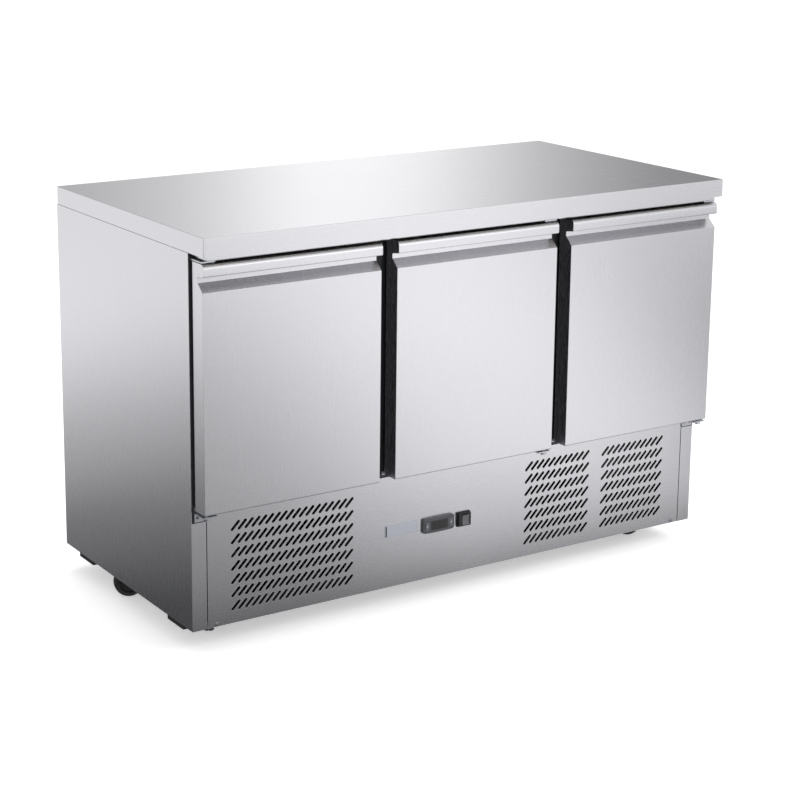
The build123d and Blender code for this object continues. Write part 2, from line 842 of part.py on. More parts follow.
with BuildPart() as skid_pads:
    for side in (-1, 1):
        for pad_y in (front_pad_y, rear_pad_y):
            with BuildSketch(Plane.XY.offset(panel_bottom - pad_drop)):
                with Locations((side * (panel_inner_x - pad_width / 2), pad_y)):
                    RectangleRounded(pad_width, pad_length, pad_corner)
            extrude(amount=base_z - panel_bottom + pad_drop)
save(skid_pads, "skid_pads")

plate_low_z = base_z - caster_plate_sheet
head_top_z = plate_low_z - caster_head_gap
fork_inner = wheel_width / 2 + fork_gap
with BuildPart() as caster_plates:
    for name, x, y, heading in casters:
        with Locations((x, y, base_z - caster_plate_sheet / 2)):
            Box(caster_plate_size, caster_plate_size, caster_plate_sheet)
        with Locations((x, y, plate_low_z)):
            Cylinder(kingpin_radius, kingpin_length, align=(Align.CENTER, Align.CENTER, Align.MAX))
save(caster_plates, "caster_plates")

for name, x, y, heading in casters:
    # The fork plane looks across the wheel: local X along the heading, local Y up.
    fork_plane = Plane(origin=(x, y, 0), x_dir=(cos(radians(heading)), sin(radians(heading)), 0),
                       z_dir=(sin(radians(heading)), -cos(radians(heading)), 0))
    with BuildPart() as fork:
        with Locations((x, y, head_top_z)):
            Cylinder(
                caster_head_radius,
                caster_head_height,
                align=(Align.CENTER, Align.CENTER, Align.MAX),
            )
        with Locations((x, y, head_top_z)):
            Cylinder(
                kingpin_radius + pin_running,
                kingpin_length - caster_head_gap + kingpin_end_play,
                align=(Align.CENTER, Align.CENTER, Align.MAX),
                mode=Mode.SUBTRACT,
            )
        for leg_side in (-1, 1):
            near = fork_inner if leg_side > 0 else -fork_inner - fork_sheet
            with BuildSketch(fork_plane.offset(near)):
                with BuildLine():
                    Polyline(
                        (-caster_head_radius * fork_shoulder, head_top_z - fork_root),
                        (caster_head_radius * fork_shoulder, head_top_z - fork_root),
                        (wheel_trail + fork_foot, wheel_radius),
                        (wheel_trail, wheel_radius - fork_foot),
                        (wheel_trail - fork_foot, wheel_radius),
                        (-caster_head_radius * fork_shoulder, head_top_z - caster_head_height),
                        close=True,
                    )
                make_face()
            extrude(amount=fork_sheet)
        with BuildSketch(fork_plane.offset(-fork_inner - fork_sheet - axle_head)):
            with Locations((wheel_trail, wheel_radius)):
                Circle(axle_radius)
        extrude(amount=2 * (fork_inner + fork_sheet + axle_head))
        for leg_side in (-1, 1):
            near = fork_inner + fork_sheet if leg_side > 0 else -fork_inner - fork_sheet - axle_head
            with BuildSketch(fork_plane.offset(near)):
                with Locations((wheel_trail, wheel_radius)):
                    RegularPolygon(axle_radius * axle_nut_share, nut_sides)
            extrude(amount=axle_head)
    save(fork, f"caster_fork_{name}")

    with BuildPart() as wheel:
        with BuildSketch(fork_plane.offset(-wheel_width / 2)):
            with Locations((wheel_trail, wheel_radius)):
                Circle(wheel_radius)
        extrude(amount=wheel_width)
        fillet(wheel.edges().filter_by(GeomType.CIRCLE), wheel_edge_radius)
        for leg_side in (-1, 1):
            near = wheel_width / 2 - wheel_dish if leg_side > 0 else -wheel_width / 2
            with BuildSketch(fork_plane.offset(near)):
                with Locations((wheel_trail, wheel_radius)):
                    Circle(wheel_radius * wheel_web_share)
                    Circle(wheel_hub_radius, mode=Mode.SUBTRACT)
            extrude(amount=wheel_dish, mode=Mode.SUBTRACT)
        with BuildSketch(fork_plane.offset(-wheel_width / 2)):
            with Locations((wheel_trail, wheel_radius)):
                Circle(axle_radius + pin_running)
        extrude(amount=wheel_width, mode=Mode.SUBTRACT)
    save(wheel, f"caster_wheel_{name}")

# ================================ shelves ================================================
bay_centres = [-(opening_half + mullion_x + mullion_width / 2) / 2, 0.0]
bay_centres.append(-bay_centres[0])
shelf_front_y = face_y + mullion_depth + shelf_front_gap
rear_pilaster_y = liner_back_y - liner_sheet
shelf_back_y = shelf_front_y + shelf_depth
for label, centre_x in zip(("left", "middle", "right"), bay_centres):
    with BuildPart() as shelf:
        rod_z = shelf_height + shelf_rod / 2
        middle_y = (shelf_front_y + shelf_back_y) / 2
        for side in (-1, 1):
            with Locations((centre_x + side * (shelf_width - shelf_rod) / 2, middle_y, rod_z)):
                Box(shelf_rod, shelf_depth, shelf_rod)
        for rod_y in (shelf_front_y + shelf_rod / 2, middle_y, shelf_back_y - shelf_rod / 2):
            with Locations((centre_x, rod_y, rod_z)):
                Box(shelf_width, shelf_rod, shelf_rod)
        wire_pitch = (shelf_width - shelf_rod) / (shelf_wires + 1)
        for k in range(shelf_wires):
            wire_x = centre_x - (shelf_width - shelf_rod) / 2 + (k + 1) * wire_pitch
            with Locations((wire_x, middle_y, rod_z + shelf_rod / 2 + shelf_wire / 2 - wire_bite)):
                Box(shelf_wire, shelf_depth, shelf_wire)
    save(shelf, f"wire_shelf_{label}")

# Runners: angle strips that hook on the pilasters at the front and back of each bay.
pilaster_low = opening_low + pilaster_end_gap
pilaster_high = opening_high - pilaster_end_gap
front_pilaster_y = face_y + mullion_depth
liner_inner_x = liner_outer_x - liner_sheet
runner_outer = shelf_width / 2 + air_gap + runner_sheet
# Each upright: where it faces the shelf, and how far it reaches out to what carries it.
uprights = []
for bay, centre_x in enumerate(bay_centres):
    for side in (-1, 1):
        near_x = centre_x + side * runner_outer
        at_wall = side * centre_x > 0
        far_x = side * liner_inner_x if at_wall else None
        if far_x is None:
            mullion_side = side if bay == 1 else -1 if centre_x < 0 else 1
            edge_x = mullion_side * mullion_x - side * mullion_width / 2
            far_x = edge_x + side * pilaster_hold
        uprights.append((near_x, far_x))
with BuildPart() as pilasters:
    for near_x, far_x in uprights:
        for low_y in (front_pilaster_y, rear_pilaster_y - pilaster_width):
            spot = ((near_x + far_x) / 2, low_y + pilaster_width / 2, (pilaster_low + pilaster_high) / 2)
            with Locations(spot):
                Box(abs(far_x - near_x), pilaster_width, pilaster_high - pilaster_low)
save(pilasters, "shelf_pilasters")

with BuildPart() as runners:
    for centre_x in bay_centres:
        for side in (-1, 1):
            edge_x = centre_x + side * (shelf_width / 2 + air_gap)
            runner_low_y = front_pilaster_y
            runner_high_y = rear_pilaster_y
            middle_y = (runner_low_y + runner_high_y) / 2
            length = runner_high_y - runner_low_y
            with Locations((edge_x + side * runner_sheet / 2, middle_y, shelf_height)):
                Box(runner_sheet, length, runner_rise)
            with Locations((edge_x - side * runner_width / 2, middle_y, shelf_height - runner_sheet / 2)):
                Box(runner_width, length, runner_sheet)
save(runners, "shelf_runners")

# ================================ cooling machinery =====================================
deck_z = base_z + base_sheet


def finned_coil(low, high, fin_pitch, rows):
    """A block of upright fins on level tubes, closed by an end plate at each side."""
    span_x, span_y, span_z = (high[i] - low[i] for i in range(3))
    mid = tuple((high[i] + low[i]) / 2 for i in range(3))
    fins = int((span_x - 2 * coil_margin) / fin_pitch)
    with BuildPart() as coil:
        with Locations((mid[0], mid[1], mid[2])):
            with GridLocations(fin_pitch, 1, fins, 1):
                Box(fin_sheet, span_y - 2 * fin_side_gap, span_z - 2 * fin_end_gap)
        with Locations((low[0] + plate_sheet / 2, mid[1], mid[2]),
                       (high[0] - plate_sheet / 2, mid[1], mid[2])):
            Box(plate_sheet, span_y, span_z)
        for k in range(rows):
            tube_z = low[2] + (k + 0.5) * span_z / rows
            with BuildSketch(Plane.YZ.offset(low[0])):
                with Locations((mid[1] - span_y / 4, tube_z), (mid[1] + span_y / 4, tube_z)):
                    Circle(pipe_radius)
            extrude(amount=span_x)
    return coil


condenser_low_y = face_y + front_panel_flange + condenser_gap
condenser_low = (condenser_centre_x - condenser_width / 2, condenser_low_y, deck_z)
condenser_high = (
    condenser_centre_x + condenser_width / 2,
    condenser_low[1] + condenser_depth,
    deck_z + condenser_height,
)
condenser_coil = finned_coil(
    condenser_low, condenser_high, condenser_fin_pitch, condenser_tube_rows
)
save(condenser_coil, "condenser_coil")

fan_z = deck_z + condenser_height / 2
shroud_y = condenser_high[1]
with BuildPart() as fan_shroud:
    with BuildSketch(Plane.XZ.offset(-shroud_y)):
        with Locations((condenser_centre_x, fan_z)):
            Rectangle(condenser_width, condenser_height)
            Circle(fan_radius + fan_tip_gap, mode=Mode.SUBTRACT)
    extrude(amount=-plate_sheet)
    with BuildSketch(Plane.XZ.offset(-(shroud_y + plate_sheet))):
        with Locations((condenser_centre_x, fan_z)):
            Circle(fan_radius + fan_tip_gap + plate_sheet)
            Circle(fan_radius + fan_tip_gap, mode=Mode.SUBTRACT)
    extrude(amount=-shroud_ring)
save(fan_shroud, "fan_shroud")


def fan_wheel(origin, radius, hub_radius, hub_depth, shaft):
    """Fan on its shaft, turning about Y, with the shaft running back into its motor."""
    with BuildPart(Plane(origin=origin, x_dir=(1, 0, 0), z_dir=(0, 1, 0))) as fan:
        Cylinder(hub_radius, hub_depth)
        with Locations((0, 0, hub_depth / 2 + shaft / 2)):
            Cylinder(shaft_radius, shaft)
        blade = radius - hub_radius + blade_root
        with PolarLocations(hub_radius - blade_root + blade / 2, blade_count):
            Box(blade, radius * blade_share, blade_sheet, rotation=(blade_angle, 0, 0))
        Cylinder(radius, 4 * hub_depth, mode=Mode.INTERSECT)
    return fan


def fan_motor(x, front_y, z, back_y, radius):
    """Motor body with a blind bore for the fan's shaft."""
    with BuildPart() as motor:
        with BuildSketch(Plane.XZ.offset(-front_y)):
            with Locations((x, z)):
                Circle(radius)
        extrude(amount=-(back_y - front_y))
        with BuildSketch(Plane.XZ.offset(-front_y)):
            with Locations((x, z)):
                Circle(shaft_radius + pin_running)
        extrude(amount=-(shaft_hold + pin_clearance), mode=Mode.SUBTRACT)
    return motor


fan_y = shroud_y + plate_sheet + shroud_ring / 2 + fan_setback
motor_y = fan_y + condenser_hub / 2 + motor_gap
condenser_fan = fan_wheel(
    (condenser_centre_x, fan_y, fan_z), fan_radius, fan_hub_radius, condenser_hub, motor_gap + shaft_hold
)
save(condenser_fan, "condenser_fan")

evaporator_low_z = shelf_height + evaporator_rise
evaporator_mid_z = evaporator_low_z + evaporator_height / 2
evaporator_back_y = liner_back_y - liner_sheet
evaporator_front_y = evaporator_back_y - evaporator_depth
evaporator_fan_y = evaporator_front_y + evaporator_fan_setback
evaporator_motor_y = evaporator_fan_y + evaporator_hub / 2 + motor_gap
evaporator_fan = fan_wheel(
    (evaporator_fan_x, evaporator_fan_y, evaporator_mid_z),
    evaporator_fan_radius,
    fan_hub_radius - evaporator_hub_trim,
    evaporator_hub,
    motor_gap + shaft_hold,
)
save(evaporator_fan, "evaporator_fan")

motor_back_y = motor_y + condenser_motor_length
condenser_motor = fan_motor(condenser_centre_x, motor_y, fan_z, motor_back_y, motor_radius)
foot_y = motor_back_y + plate_sheet / 2
foot_top_z = fan_z + motor_foot_rise
with BuildPart() as motor_foot:
    with Locations((condenser_centre_x, foot_y, (deck_z + foot_top_z) / 2)):
        Box(motor_foot_width, plate_sheet, foot_top_z - deck_z)
    with Locations((condenser_centre_x, foot_y + motor_foot_length / 2, deck_z + plate_sheet / 2)):
        Box(motor_foot_width, motor_foot_length, plate_sheet)
evaporator_motor = fan_motor(
    evaporator_fan_x,
    evaporator_motor_y,
    evaporator_mid_z,
    evaporator_back_y,
    motor_radius - evaporator_motor_trim,
)
motor_parts = [condenser_motor, motor_foot, evaporator_motor]
fan_motors = Compound(children=[solid for piece in motor_parts for solid in piece.part.solids()])
fan_motors.label = "fan_motors"
export_step(fan_motors, "parts/fan_motors.step")

evaporator_coil = finned_coil(
    (
        -evaporator_width / 2 + evaporator_side_inset,
        evaporator_front_y + evaporator_coil_inset,
        evaporator_low_z + evaporator_coil_inset,
    ),
    (
        evaporator_fan_x - evaporator_fan_radius - evaporator_side_inset,
        evaporator_back_y,
        evaporator_low_z + evaporator_height - evaporator_coil_inset,
    ),
    evaporator_fin_pitch,
    evaporator_tube_rows,
)
save(evaporator_coil, "evaporator_coil")

with BuildPart() as evaporator_cover:
    with Locations((0, evaporator_back_y - evaporator_depth / 2, evaporator_mid_z)):
        Box(evaporator_width, evaporator_depth, evaporator_height)
    offset(amount=-sheet, openings=evaporator_cover.faces().sort_by(Axis.Y)[-1])
    with BuildSketch(Plane.XZ.offset(-evaporator_front_y)):
        with Locations((evaporator_fan_x, evaporator_mid_z)):
            Circle(evaporator_fan_radius + fan_tip_gap)
        with Locations((-evaporator_width / 4 - cover_slot_shift, evaporator_mid_z)):
            with GridLocations(1, cover_slot_pitch, 1, cover_slot_rows):
                SlotOverall(*cover_slot)
    extrude(amount=-2 * sheet, mode=Mode.SUBTRACT)
save(evaporator_cover, "evaporator_cover")

shell_low_z = deck_z + compressor_lift
with BuildPart() as compressor:
    with Locations((compressor_x, compressor_y, shell_low_z)):
        Cylinder(
            compressor_radius,
            compressor_height,
            align=(Align.CENTER, Align.CENTER, Align.MIN),
        )
    fillet(compressor.edges().filter_by(GeomType.CIRCLE), compressor_radius * compressor_edge_share)
    with Locations((compressor_x, compressor_y, shell_low_z + plate_sheet)):
        Box(*compressor_foot, 2 * plate_sheet)
    with Locations((compressor_x, compressor_y, deck_z)):
        with GridLocations(*compressor_mount_pitch, 2, 2):
            Cylinder(
                compressor_mount_radius,
                compressor_lift + plate_sheet,
                align=(Align.CENTER, Align.CENTER, Align.MIN),
            )
    with Locations((compressor_x + compressor_radius, compressor_y, shell_low_z + compressor_height / 2)):
        Box(*terminal_box)
save(compressor, "compressor")


def bent_pipe(points, radius, bend):
    """Copper pipe: straight runs joined by tangent arcs."""
    with BuildPart() as pipe:
        with BuildLine() as route:
            FilletPolyline(*points, radius=bend)
        start = Plane(origin=route.line @ 0, z_dir=route.line % 0)
        with BuildSketch(start):
            Circle(radius)
        sweep(path=route.line)
    return pipe


touch = air_gap
shell_left_x = compressor_x - compressor_radius
condenser_right_x = condenser_high[0]
pipe_y = (condenser_low[1] + condenser_high[1]) / 2
high_z = deck_z + condenser_height * discharge_share
low_z = deck_z + condenser_height * liquid_share
foam_touch = foam_bottom_z - touch
line_x = condenser_right_x + line_offset
discharge_x = line_x + discharge_offset
suction_x = line_x + suction_offset
suction_z = shell_low_z + compressor_height * suction_share
capillary_y = drier_start + drier_length + drier_tail
discharge_pipe = bent_pipe(
    [
        (shell_left_x - touch, compressor_y, shell_low_z + compressor_height / 2),
        (discharge_x, compressor_y, shell_low_z + compressor_height / 2),
        (discharge_x, pipe_y, high_z),
        (condenser_right_x + touch, pipe_y, high_z),
    ],
    pipe_radius,
    pipe_bend,
)
liquid_pipe = bent_pipe(
    [
        (condenser_right_x + touch, pipe_y, low_z),
        (line_x, pipe_y, low_z),
        (line_x, drier_start, low_z),
    ],
    pipe_radius,
    pipe_bend,
)
with BuildPart() as filter_drier:
    with BuildSketch(Plane.XZ.offset(-drier_start)):
        with Locations((line_x, low_z)):
            Circle(drier_radius)
    extrude(amount=-drier_length)
    chamfer(filter_drier.edges().filter_by(GeomType.CIRCLE), drier_chamfer)
capillary = bent_pipe(
    [
        (line_x, drier_start + drier_length, low_z),
        (line_x, capillary_y, low_z),
        (line_x, capillary_y, foam_touch),
    ],
    pipe_radius * capillary_share,
    pipe_bend,
)
suction_y = compressor_y + compressor_radius + touch
suction_pipe = bent_pipe(
    [
        (suction_x, suction_run_y, foam_touch),
        (suction_x, suction_run_y, suction_z),
        (compressor_x, suction_run_y, suction_z),
        (compressor_x, suction_y, suction_z),
    ],
    pipe_radius,
    pipe_bend,
)
pipe_parts = [discharge_pipe, liquid_pipe, filter_drier, capillary, suction_pipe]
pipework = Compound(children=[solid for piece in pipe_parts for solid in piece.part.solids()])
pipework.label = "refrigerant_pipes"
export_step(pipework, "parts/refrigerant_pipes.step")

with BuildPart() as power_inlet:
    with BuildSketch(Plane.XZ.offset(-worktop_back)):
        with Locations((gland_x, machine_mid)):
            Circle(gland_hole_radius - air_gap)
            Circle(gland_hole_radius / gland_bore_share, mode=Mode.SUBTRACT)
    extrude(amount=gland_length)
    with BuildSketch(Plane.XZ.offset(-back_sheet_y)):
        with Locations((gland_x, machine_mid)):
            Circle(gland_flange)
            Circle(gland_hole_radius / gland_bore_share, mode=Mode.SUBTRACT)
    extrude(amount=gland_flange_sheet)
save(power_inlet, "power_inlet")
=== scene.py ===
import json
import math
import bmesh
import bpy
from mathutils import Matrix, Vector


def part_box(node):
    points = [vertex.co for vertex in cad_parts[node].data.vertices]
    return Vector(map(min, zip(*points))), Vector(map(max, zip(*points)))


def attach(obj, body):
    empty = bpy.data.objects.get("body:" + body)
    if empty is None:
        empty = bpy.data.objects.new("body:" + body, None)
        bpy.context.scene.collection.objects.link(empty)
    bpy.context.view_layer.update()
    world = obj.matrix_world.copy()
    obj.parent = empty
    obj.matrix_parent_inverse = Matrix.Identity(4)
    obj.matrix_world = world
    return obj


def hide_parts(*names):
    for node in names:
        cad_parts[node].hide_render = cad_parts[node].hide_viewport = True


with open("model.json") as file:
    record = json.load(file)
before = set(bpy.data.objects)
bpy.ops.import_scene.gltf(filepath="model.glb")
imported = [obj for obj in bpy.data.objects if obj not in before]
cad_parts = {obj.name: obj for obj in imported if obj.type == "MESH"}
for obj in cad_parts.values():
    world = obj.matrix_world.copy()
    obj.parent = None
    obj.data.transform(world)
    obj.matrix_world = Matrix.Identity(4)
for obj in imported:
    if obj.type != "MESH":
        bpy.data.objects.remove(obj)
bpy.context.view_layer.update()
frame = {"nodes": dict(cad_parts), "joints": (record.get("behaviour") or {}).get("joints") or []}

mm = 0.001
nodes = frame["nodes"]
bays = ("left", "middle", "right")
casterPlaces = ("front_left", "front_right", "rear_left", "rear_right")


def toLinear(hexColour):
    channels = [int(hexColour[i:i + 2], 16) / 255 for i in (1, 3, 5)]
    linear = [c / 12.92 if c <= 0.04045 else ((c + 0.055) / 1.055) ** 2.4 for c in channels]
    return (*linear, 1.0)


def addNode(tree, kind, inputs=None, **settings):
    made = tree.nodes.new(kind)
    for name, value in settings.items():
        setattr(made, name, value)
    for name, value in (inputs or {}).items():
        if isinstance(value, bpy.types.NodeSocket):
            tree.links.new(value, made.inputs[name])
        else:
            made.inputs[name].default_value = value
    return made


def newMaterial(name):
    material = bpy.data.materials.new(name)
    material.use_nodes = True
    material.node_tree.nodes.clear()
    return material, material.node_tree


def closeMaterial(tree, surface):
    addNode(tree, "ShaderNodeOutputMaterial", {"Surface": surface.outputs[0]})


def paint(nodeNames, material):
    for name in nodeNames:
        slots = nodes[name].data.materials
        if len(slots) == 0:
            slots.append(material)
        for index in range(len(slots)):
            nodes[name].material_slots[index].link = "OBJECT"
            nodes[name].material_slots[index].material = material


def jointOf(body):
    joint = next(j for j in frame["joints"] if j["child"] == body)
    return Vector(joint["pos_m"]), Vector(joint["axis"])


def addPiece(name, vertices, faces, body, slot, material, smoothAngle=35):
    mesh = bpy.data.meshes.new(name)
    mesh.from_pydata([tuple(v) for v in vertices], [], faces)
    cleaner = bmesh.new()
    cleaner.from_mesh(mesh)
    bmesh.ops.recalc_face_normals(cleaner, faces=cleaner.faces)
    cleaner.to_mesh(mesh)
    cleaner.free()
    mesh.polygons.foreach_set("use_smooth", [True] * len(mesh.polygons))
    mesh.set_sharp_from_angle(angle=math.radians(smoothAngle))
    mesh.materials.append(material)
    piece = bpy.data.objects.new(name, mesh)
    bpy.context.scene.collection.objects.link(piece)
    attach(piece, body)
    return piece


def keepFlats(piece):
    weighted = piece.modifiers.new("keepFlats", "WEIGHTED_NORMAL")  # bends shade round, sheets stay flat
    weighted.keep_sharp = True


def roundCorners(points, radii, steps=4):
    rounded = []
    for i, corner in enumerate(points):
        here = Vector(corner)
        before = (Vector(points[i - 1]) - here).normalized()
        after = (Vector(points[(i + 1) % len(points)]) - here).normalized()
        half = before.angle(after) / 2
        reach = radii[i] / math.tan(half)
        centre = here + (before + after).normalized() * (radii[i] / math.sin(half))
        start = here + before * reach - centre
        end = here + after * reach - centre
        turn = math.atan2(start.x * end.y - start.y * end.x, start.dot(end))
        for k in range(steps + 1):
            rounded.append(centre + Matrix.Rotation(turn * k / steps, 2) @ start)
    return rounded


def insetOutline(outline, inset):
    area = sum(a.x * b.y - b.x * a.y for a, b in zip(outline, outline[1:] + outline[:1]))
    side = 1 if area > 0 else -1
    moved = []
    for i, here in enumerate(outline):
        along = (outline[(i + 1) % len(outline)] - outline[i - 1]).normalized()
        moved.append(here + Vector((-along.y, along.x)) * inset * side)
    return moved


def prismAlongX(outline, lowX, highX, edge):
    loops = [(lowX, edge), (lowX + 0.3 * edge, 0.3 * edge), (lowX + edge, 0)]
    loops += [(highX - edge, 0), (highX - 0.3 * edge, 0.3 * edge), (highX, edge)]
    vertices = []
    for x, inset in loops:
        vertices += [(x, p.x, p.y) for p in insetOutline(outline, inset)]
    count = len(outline)
    faces = [list(range(count)), list(range((len(loops) - 1) * count, len(loops) * count))]
    faces += bridgeLoops(len(loops), count)
    return vertices, faces


def bridgeLoops(loopCount, count, start=0, closed=False):
    faces = []
    for k in range(loopCount if closed else loopCount - 1):
        low = start + k * count
        high = start + (k + 1) % loopCount * count
        for i in range(count):
            j = (i + 1) % count
            faces.append((low + i, low + j, high + j, high + i))
    return faces


def roundedFrame(centreX, centreZ, halfX, halfZ, radius, y, steps=5):
    ring = []
    for quarter, (sideX, sideZ) in enumerate(((1, 1), (-1, 1), (-1, -1), (1, -1))):
        for k in range(steps + 1):
            angle = math.radians(90 * (quarter + k / steps))
            x = centreX + sideX * (halfX - radius) + radius * math.cos(angle)
            z = centreZ + sideZ * (halfZ - radius) + radius * math.sin(angle)
            ring.append((x, y, z))
    return ring


def pressedPlate(rings):
    vertices = [v for ring in rings for v in ring]
    count = len(rings[0])
    faces = [list(range(count)), list(range(len(vertices) - count, len(vertices)))]
    return vertices, faces + bridgeLoops(len(rings), count)


def lathe(profile, centre, axis, segments=48):
    across = axis.orthogonal().normalized()
    upright = axis.cross(across)
    vertices = []
    for k in range(segments):
        angle = 2 * math.pi * k / segments
        outward = across * math.cos(angle) + upright * math.sin(angle)
        vertices += [centre + outward * radius * mm + axis * along * mm for radius, along in profile]
    faces = []
    count = len(profile)
    for k in range(segments):
        low = k * count
        high = (k + 1) % segments * count
        faces += [(low + i, low + i + 1, high + i + 1, high + i) for i in range(count - 1)]
    return vertices, faces


def addRod(parts, start, end, radius, sides=10):
    vertices, faces = parts
    axis = (end - start).normalized()
    across = axis.orthogonal().normalized()
    upright = axis.cross(across)
    first = len(vertices)
    dome = 0.6 * radius
    rings = ((start, 0.5), (start + axis * dome, 1.0), (end - axis * dome, 1.0), (end, 0.5))
    for centre, share in rings:
        for k in range(sides):
            angle = 2 * math.pi * k / sides
            outward = across * math.cos(angle) + upright * math.sin(angle)
            vertices.append(centre + outward * radius * share)
    faces += bridgeLoops(4, sides, first)
    faces.append([first + k for k in range(sides)])
    faces.append([first + 3 * sides + k for k in range(sides)])


def islands(name):
    work = bmesh.new()
    work.from_mesh(nodes[name].data)
    bmesh.ops.remove_doubles(work, verts=work.verts, dist=0.002 * mm)
    left = set(work.verts)
    boxes = []
    while left:
        reached = [left.pop()]
        for vertex in reached:
            for edge in vertex.link_edges:
                other = edge.other_vert(vertex)
                if other in left:
                    left.discard(other)
                    reached.append(other)
        low = Vector([min(v.co[i] for v in reached) for i in range(3)])
        high = Vector([max(v.co[i] for v in reached) for i in range(3)])
        boxes.append((low, high))
    work.free()
    return sorted(boxes, key=lambda corners: tuple(round(c, 4) for c in corners[0]))


def brushedStainless(name, along, look):
    # 430 stainless with a number 4 belt grain: a soft, streaky mirror that is brighter along the grain
    material, tree = newMaterial(name)
    across = 1 / (look["grain"] * mm)
    lengthwise = 1 / (look["grainLength"] * mm)
    scale = {"x": (lengthwise, across, across), "z": (across, across, lengthwise)}[along]
    place = addNode(tree, "ShaderNodeTexCoord")
    stretched = addNode(tree, "ShaderNodeMapping", {"Vector": place.outputs["Object"], "Scale": scale})
    grain = addNode(tree, "ShaderNodeTexNoise",
                    {"Vector": stretched.outputs[0], "Scale": 1.0, "Detail": 3.0, "Roughness": 0.6})
    smudge = addNode(tree, "ShaderNodeTexNoise",
                     {"Vector": place.outputs["Object"], "Scale": 1 / (look["smudge"] * mm), "Detail": 2.0})
    tint = addNode(tree, "ShaderNodeMixRGB",
                   {0: grain.outputs[0], 1: toLinear(look["dark"]), 2: toLinear(look["light"])})
    gloss = addNode(tree, "ShaderNodeMapRange",
                    {"Value": grain.outputs[0], "To Min": look["roughness"][0],
                     "To Max": look["roughness"][1]})
    wiped = addNode(tree, "ShaderNodeMath", {0: smudge.outputs[0], 1: look["wipe"], 2: gloss.outputs[0]},
                    operation="MULTIPLY_ADD")
    bump = addNode(tree, "ShaderNodeBump",
                   {"Height": grain.outputs[0], "Distance": look["depth"] * mm, "Strength": 0.35})
    metal = addNode(tree, "ShaderNodeBsdfPrincipled",
                    {"Base Color": tint.outputs[0], "Metallic": 1.0, "Roughness": wiped.outputs[0],
                     "Normal": bump.outputs[0]})
    closeMaterial(tree, metal)
    return material


stainless = {"dark": "#c8c8cc", "light": "#cccccf", "grain": 1.0, "grainLength": 70, "smudge": 160,
             "roughness": (0.24, 0.28), "wipe": 0.02, "depth": 0.002}  # grain drawn coarser than its 0.2 mm
linerLook = dict(stainless, dark="#b4b5ba", light="#c6c7cb", roughness=(0.30, 0.40))


def galvanisedSteel(name, look):
    # hot-dip zinc: flat grey with crystal spangle that shifts from patch to patch
    material, tree = newMaterial(name)
    place = addNode(tree, "ShaderNodeTexCoord")
    spangle = addNode(tree, "ShaderNodeTexVoronoi",
                      {"Vector": place.outputs["Object"], "Scale": 1 / (look["spangle"] * mm)})
    level = addNode(tree, "ShaderNodeSeparateColor", {"Color": spangle.outputs["Color"]})
    tint = addNode(tree, "ShaderNodeMixRGB",
                   {0: level.outputs[0], 1: toLinear(look["dark"]), 2: toLinear(look["light"])})
    gloss = addNode(tree, "ShaderNodeMapRange",
                    {"Value": level.outputs[1], "To Min": look["roughness"][0],
                     "To Max": look["roughness"][1]})
    metal = addNode(tree, "ShaderNodeBsdfPrincipled",
                    {"Base Color": tint.outputs[0], "Metallic": 1.0, "Roughness": gloss.outputs[0]})
    closeMaterial(tree, metal)
    return material


zincSheet = {"dark": "#a6aaae", "light": "#b2b5b9", "spangle": 8, "roughness": (0.38, 0.46)}


def grainedSurface(name, look):
    # moulded, coated or plated skin: one base colour, a fine surface grain and a slow change of tone
    material, tree = newMaterial(name)
    place = addNode(tree, "ShaderNodeTexCoord")
    grain = addNode(tree, "ShaderNodeTexNoise",
                    {"Vector": place.outputs["Object"], "Scale": 1 / (look["grain"] * mm), "Detail": 4.0})
    drift = addNode(tree, "ShaderNodeTexNoise",
                    {"Vector": place.outputs["Object"], "Scale": 1 / (look["drift"] * mm), "Detail": 2.0})
    tint = addNode(tree, "ShaderNodeMixRGB",
                   {0: drift.outputs[0], 1: toLinear(look["dark"]), 2: toLinear(look["light"])})
    gloss = addNode(tree, "ShaderNodeMapRange",
                    {"Value": grain.outputs[0], "To Min": look["roughness"][0],
                     "To Max": look["roughness"][1]})
    bump = addNode(tree, "ShaderNodeBump",
                   {"Height": grain.outputs[0], "Distance": look["depth"] * mm, "Strength": 0.4})
    skin = addNode(tree, "ShaderNodeBsdfPrincipled",
                   {"Base Color": tint.outputs[0], "Roughness": gloss.outputs[0], "Normal": bump.outputs[0],
                    "Metallic": look.get("metallic", 0.0), "IOR": look.get("ior", 1.5),
                    "Coat Weight": look.get("coat", 0.0), "Sheen Weight": look.get("sheen", 0.0)})
    closeMaterial(tree, skin)
    return material


# moulded ABS: satin black with a light spark-eroded texture
absBlack = {"dark": "#141416", "light": "#1b1b1e", "grain": 0.6, "drift": 30, "roughness": (0.38, 0.52),
            "depth": 0.03, "ior": 1.53}
absGrey = dict(absBlack, dark="#424347", light="#48494d")
absPale = dict(absBlack, dark="#55565a", light="#5d5e62")
# extruded PVC: dull dark grey, smooth along its length
pvcDark = {"dark": "#17181b", "light": "#202125", "grain": 2.0, "drift": 60, "roughness": (0.42, 0.50),
           "depth": 0.02, "ior": 1.53}
# magnetic gasket of plasticised PVC: matt, soft, faintly dusty
softVinyl = {"dark": "#1d1e21", "light": "#26272b", "grain": 0.8, "drift": 24, "roughness": (0.58, 0.72),
             "depth": 0.02, "ior": 1.52, "sheen": 0.15}
# injection moulded castor rubber: matt black, slightly dusty on the tread
rubber = {"dark": "#101011", "light": "#1c1c1e", "grain": 0.7, "drift": 12, "roughness": (0.62, 0.80),
          "depth": 0.05, "ior": 1.52}
# bright zinc plating: pale, a little blue, cloudy
zincPlate = {"dark": "#a9acb2", "light": "#c6c8cd", "grain": 1.2, "drift": 14, "roughness": (0.26, 0.38),
             "depth": 0.01, "metallic": 1.0}
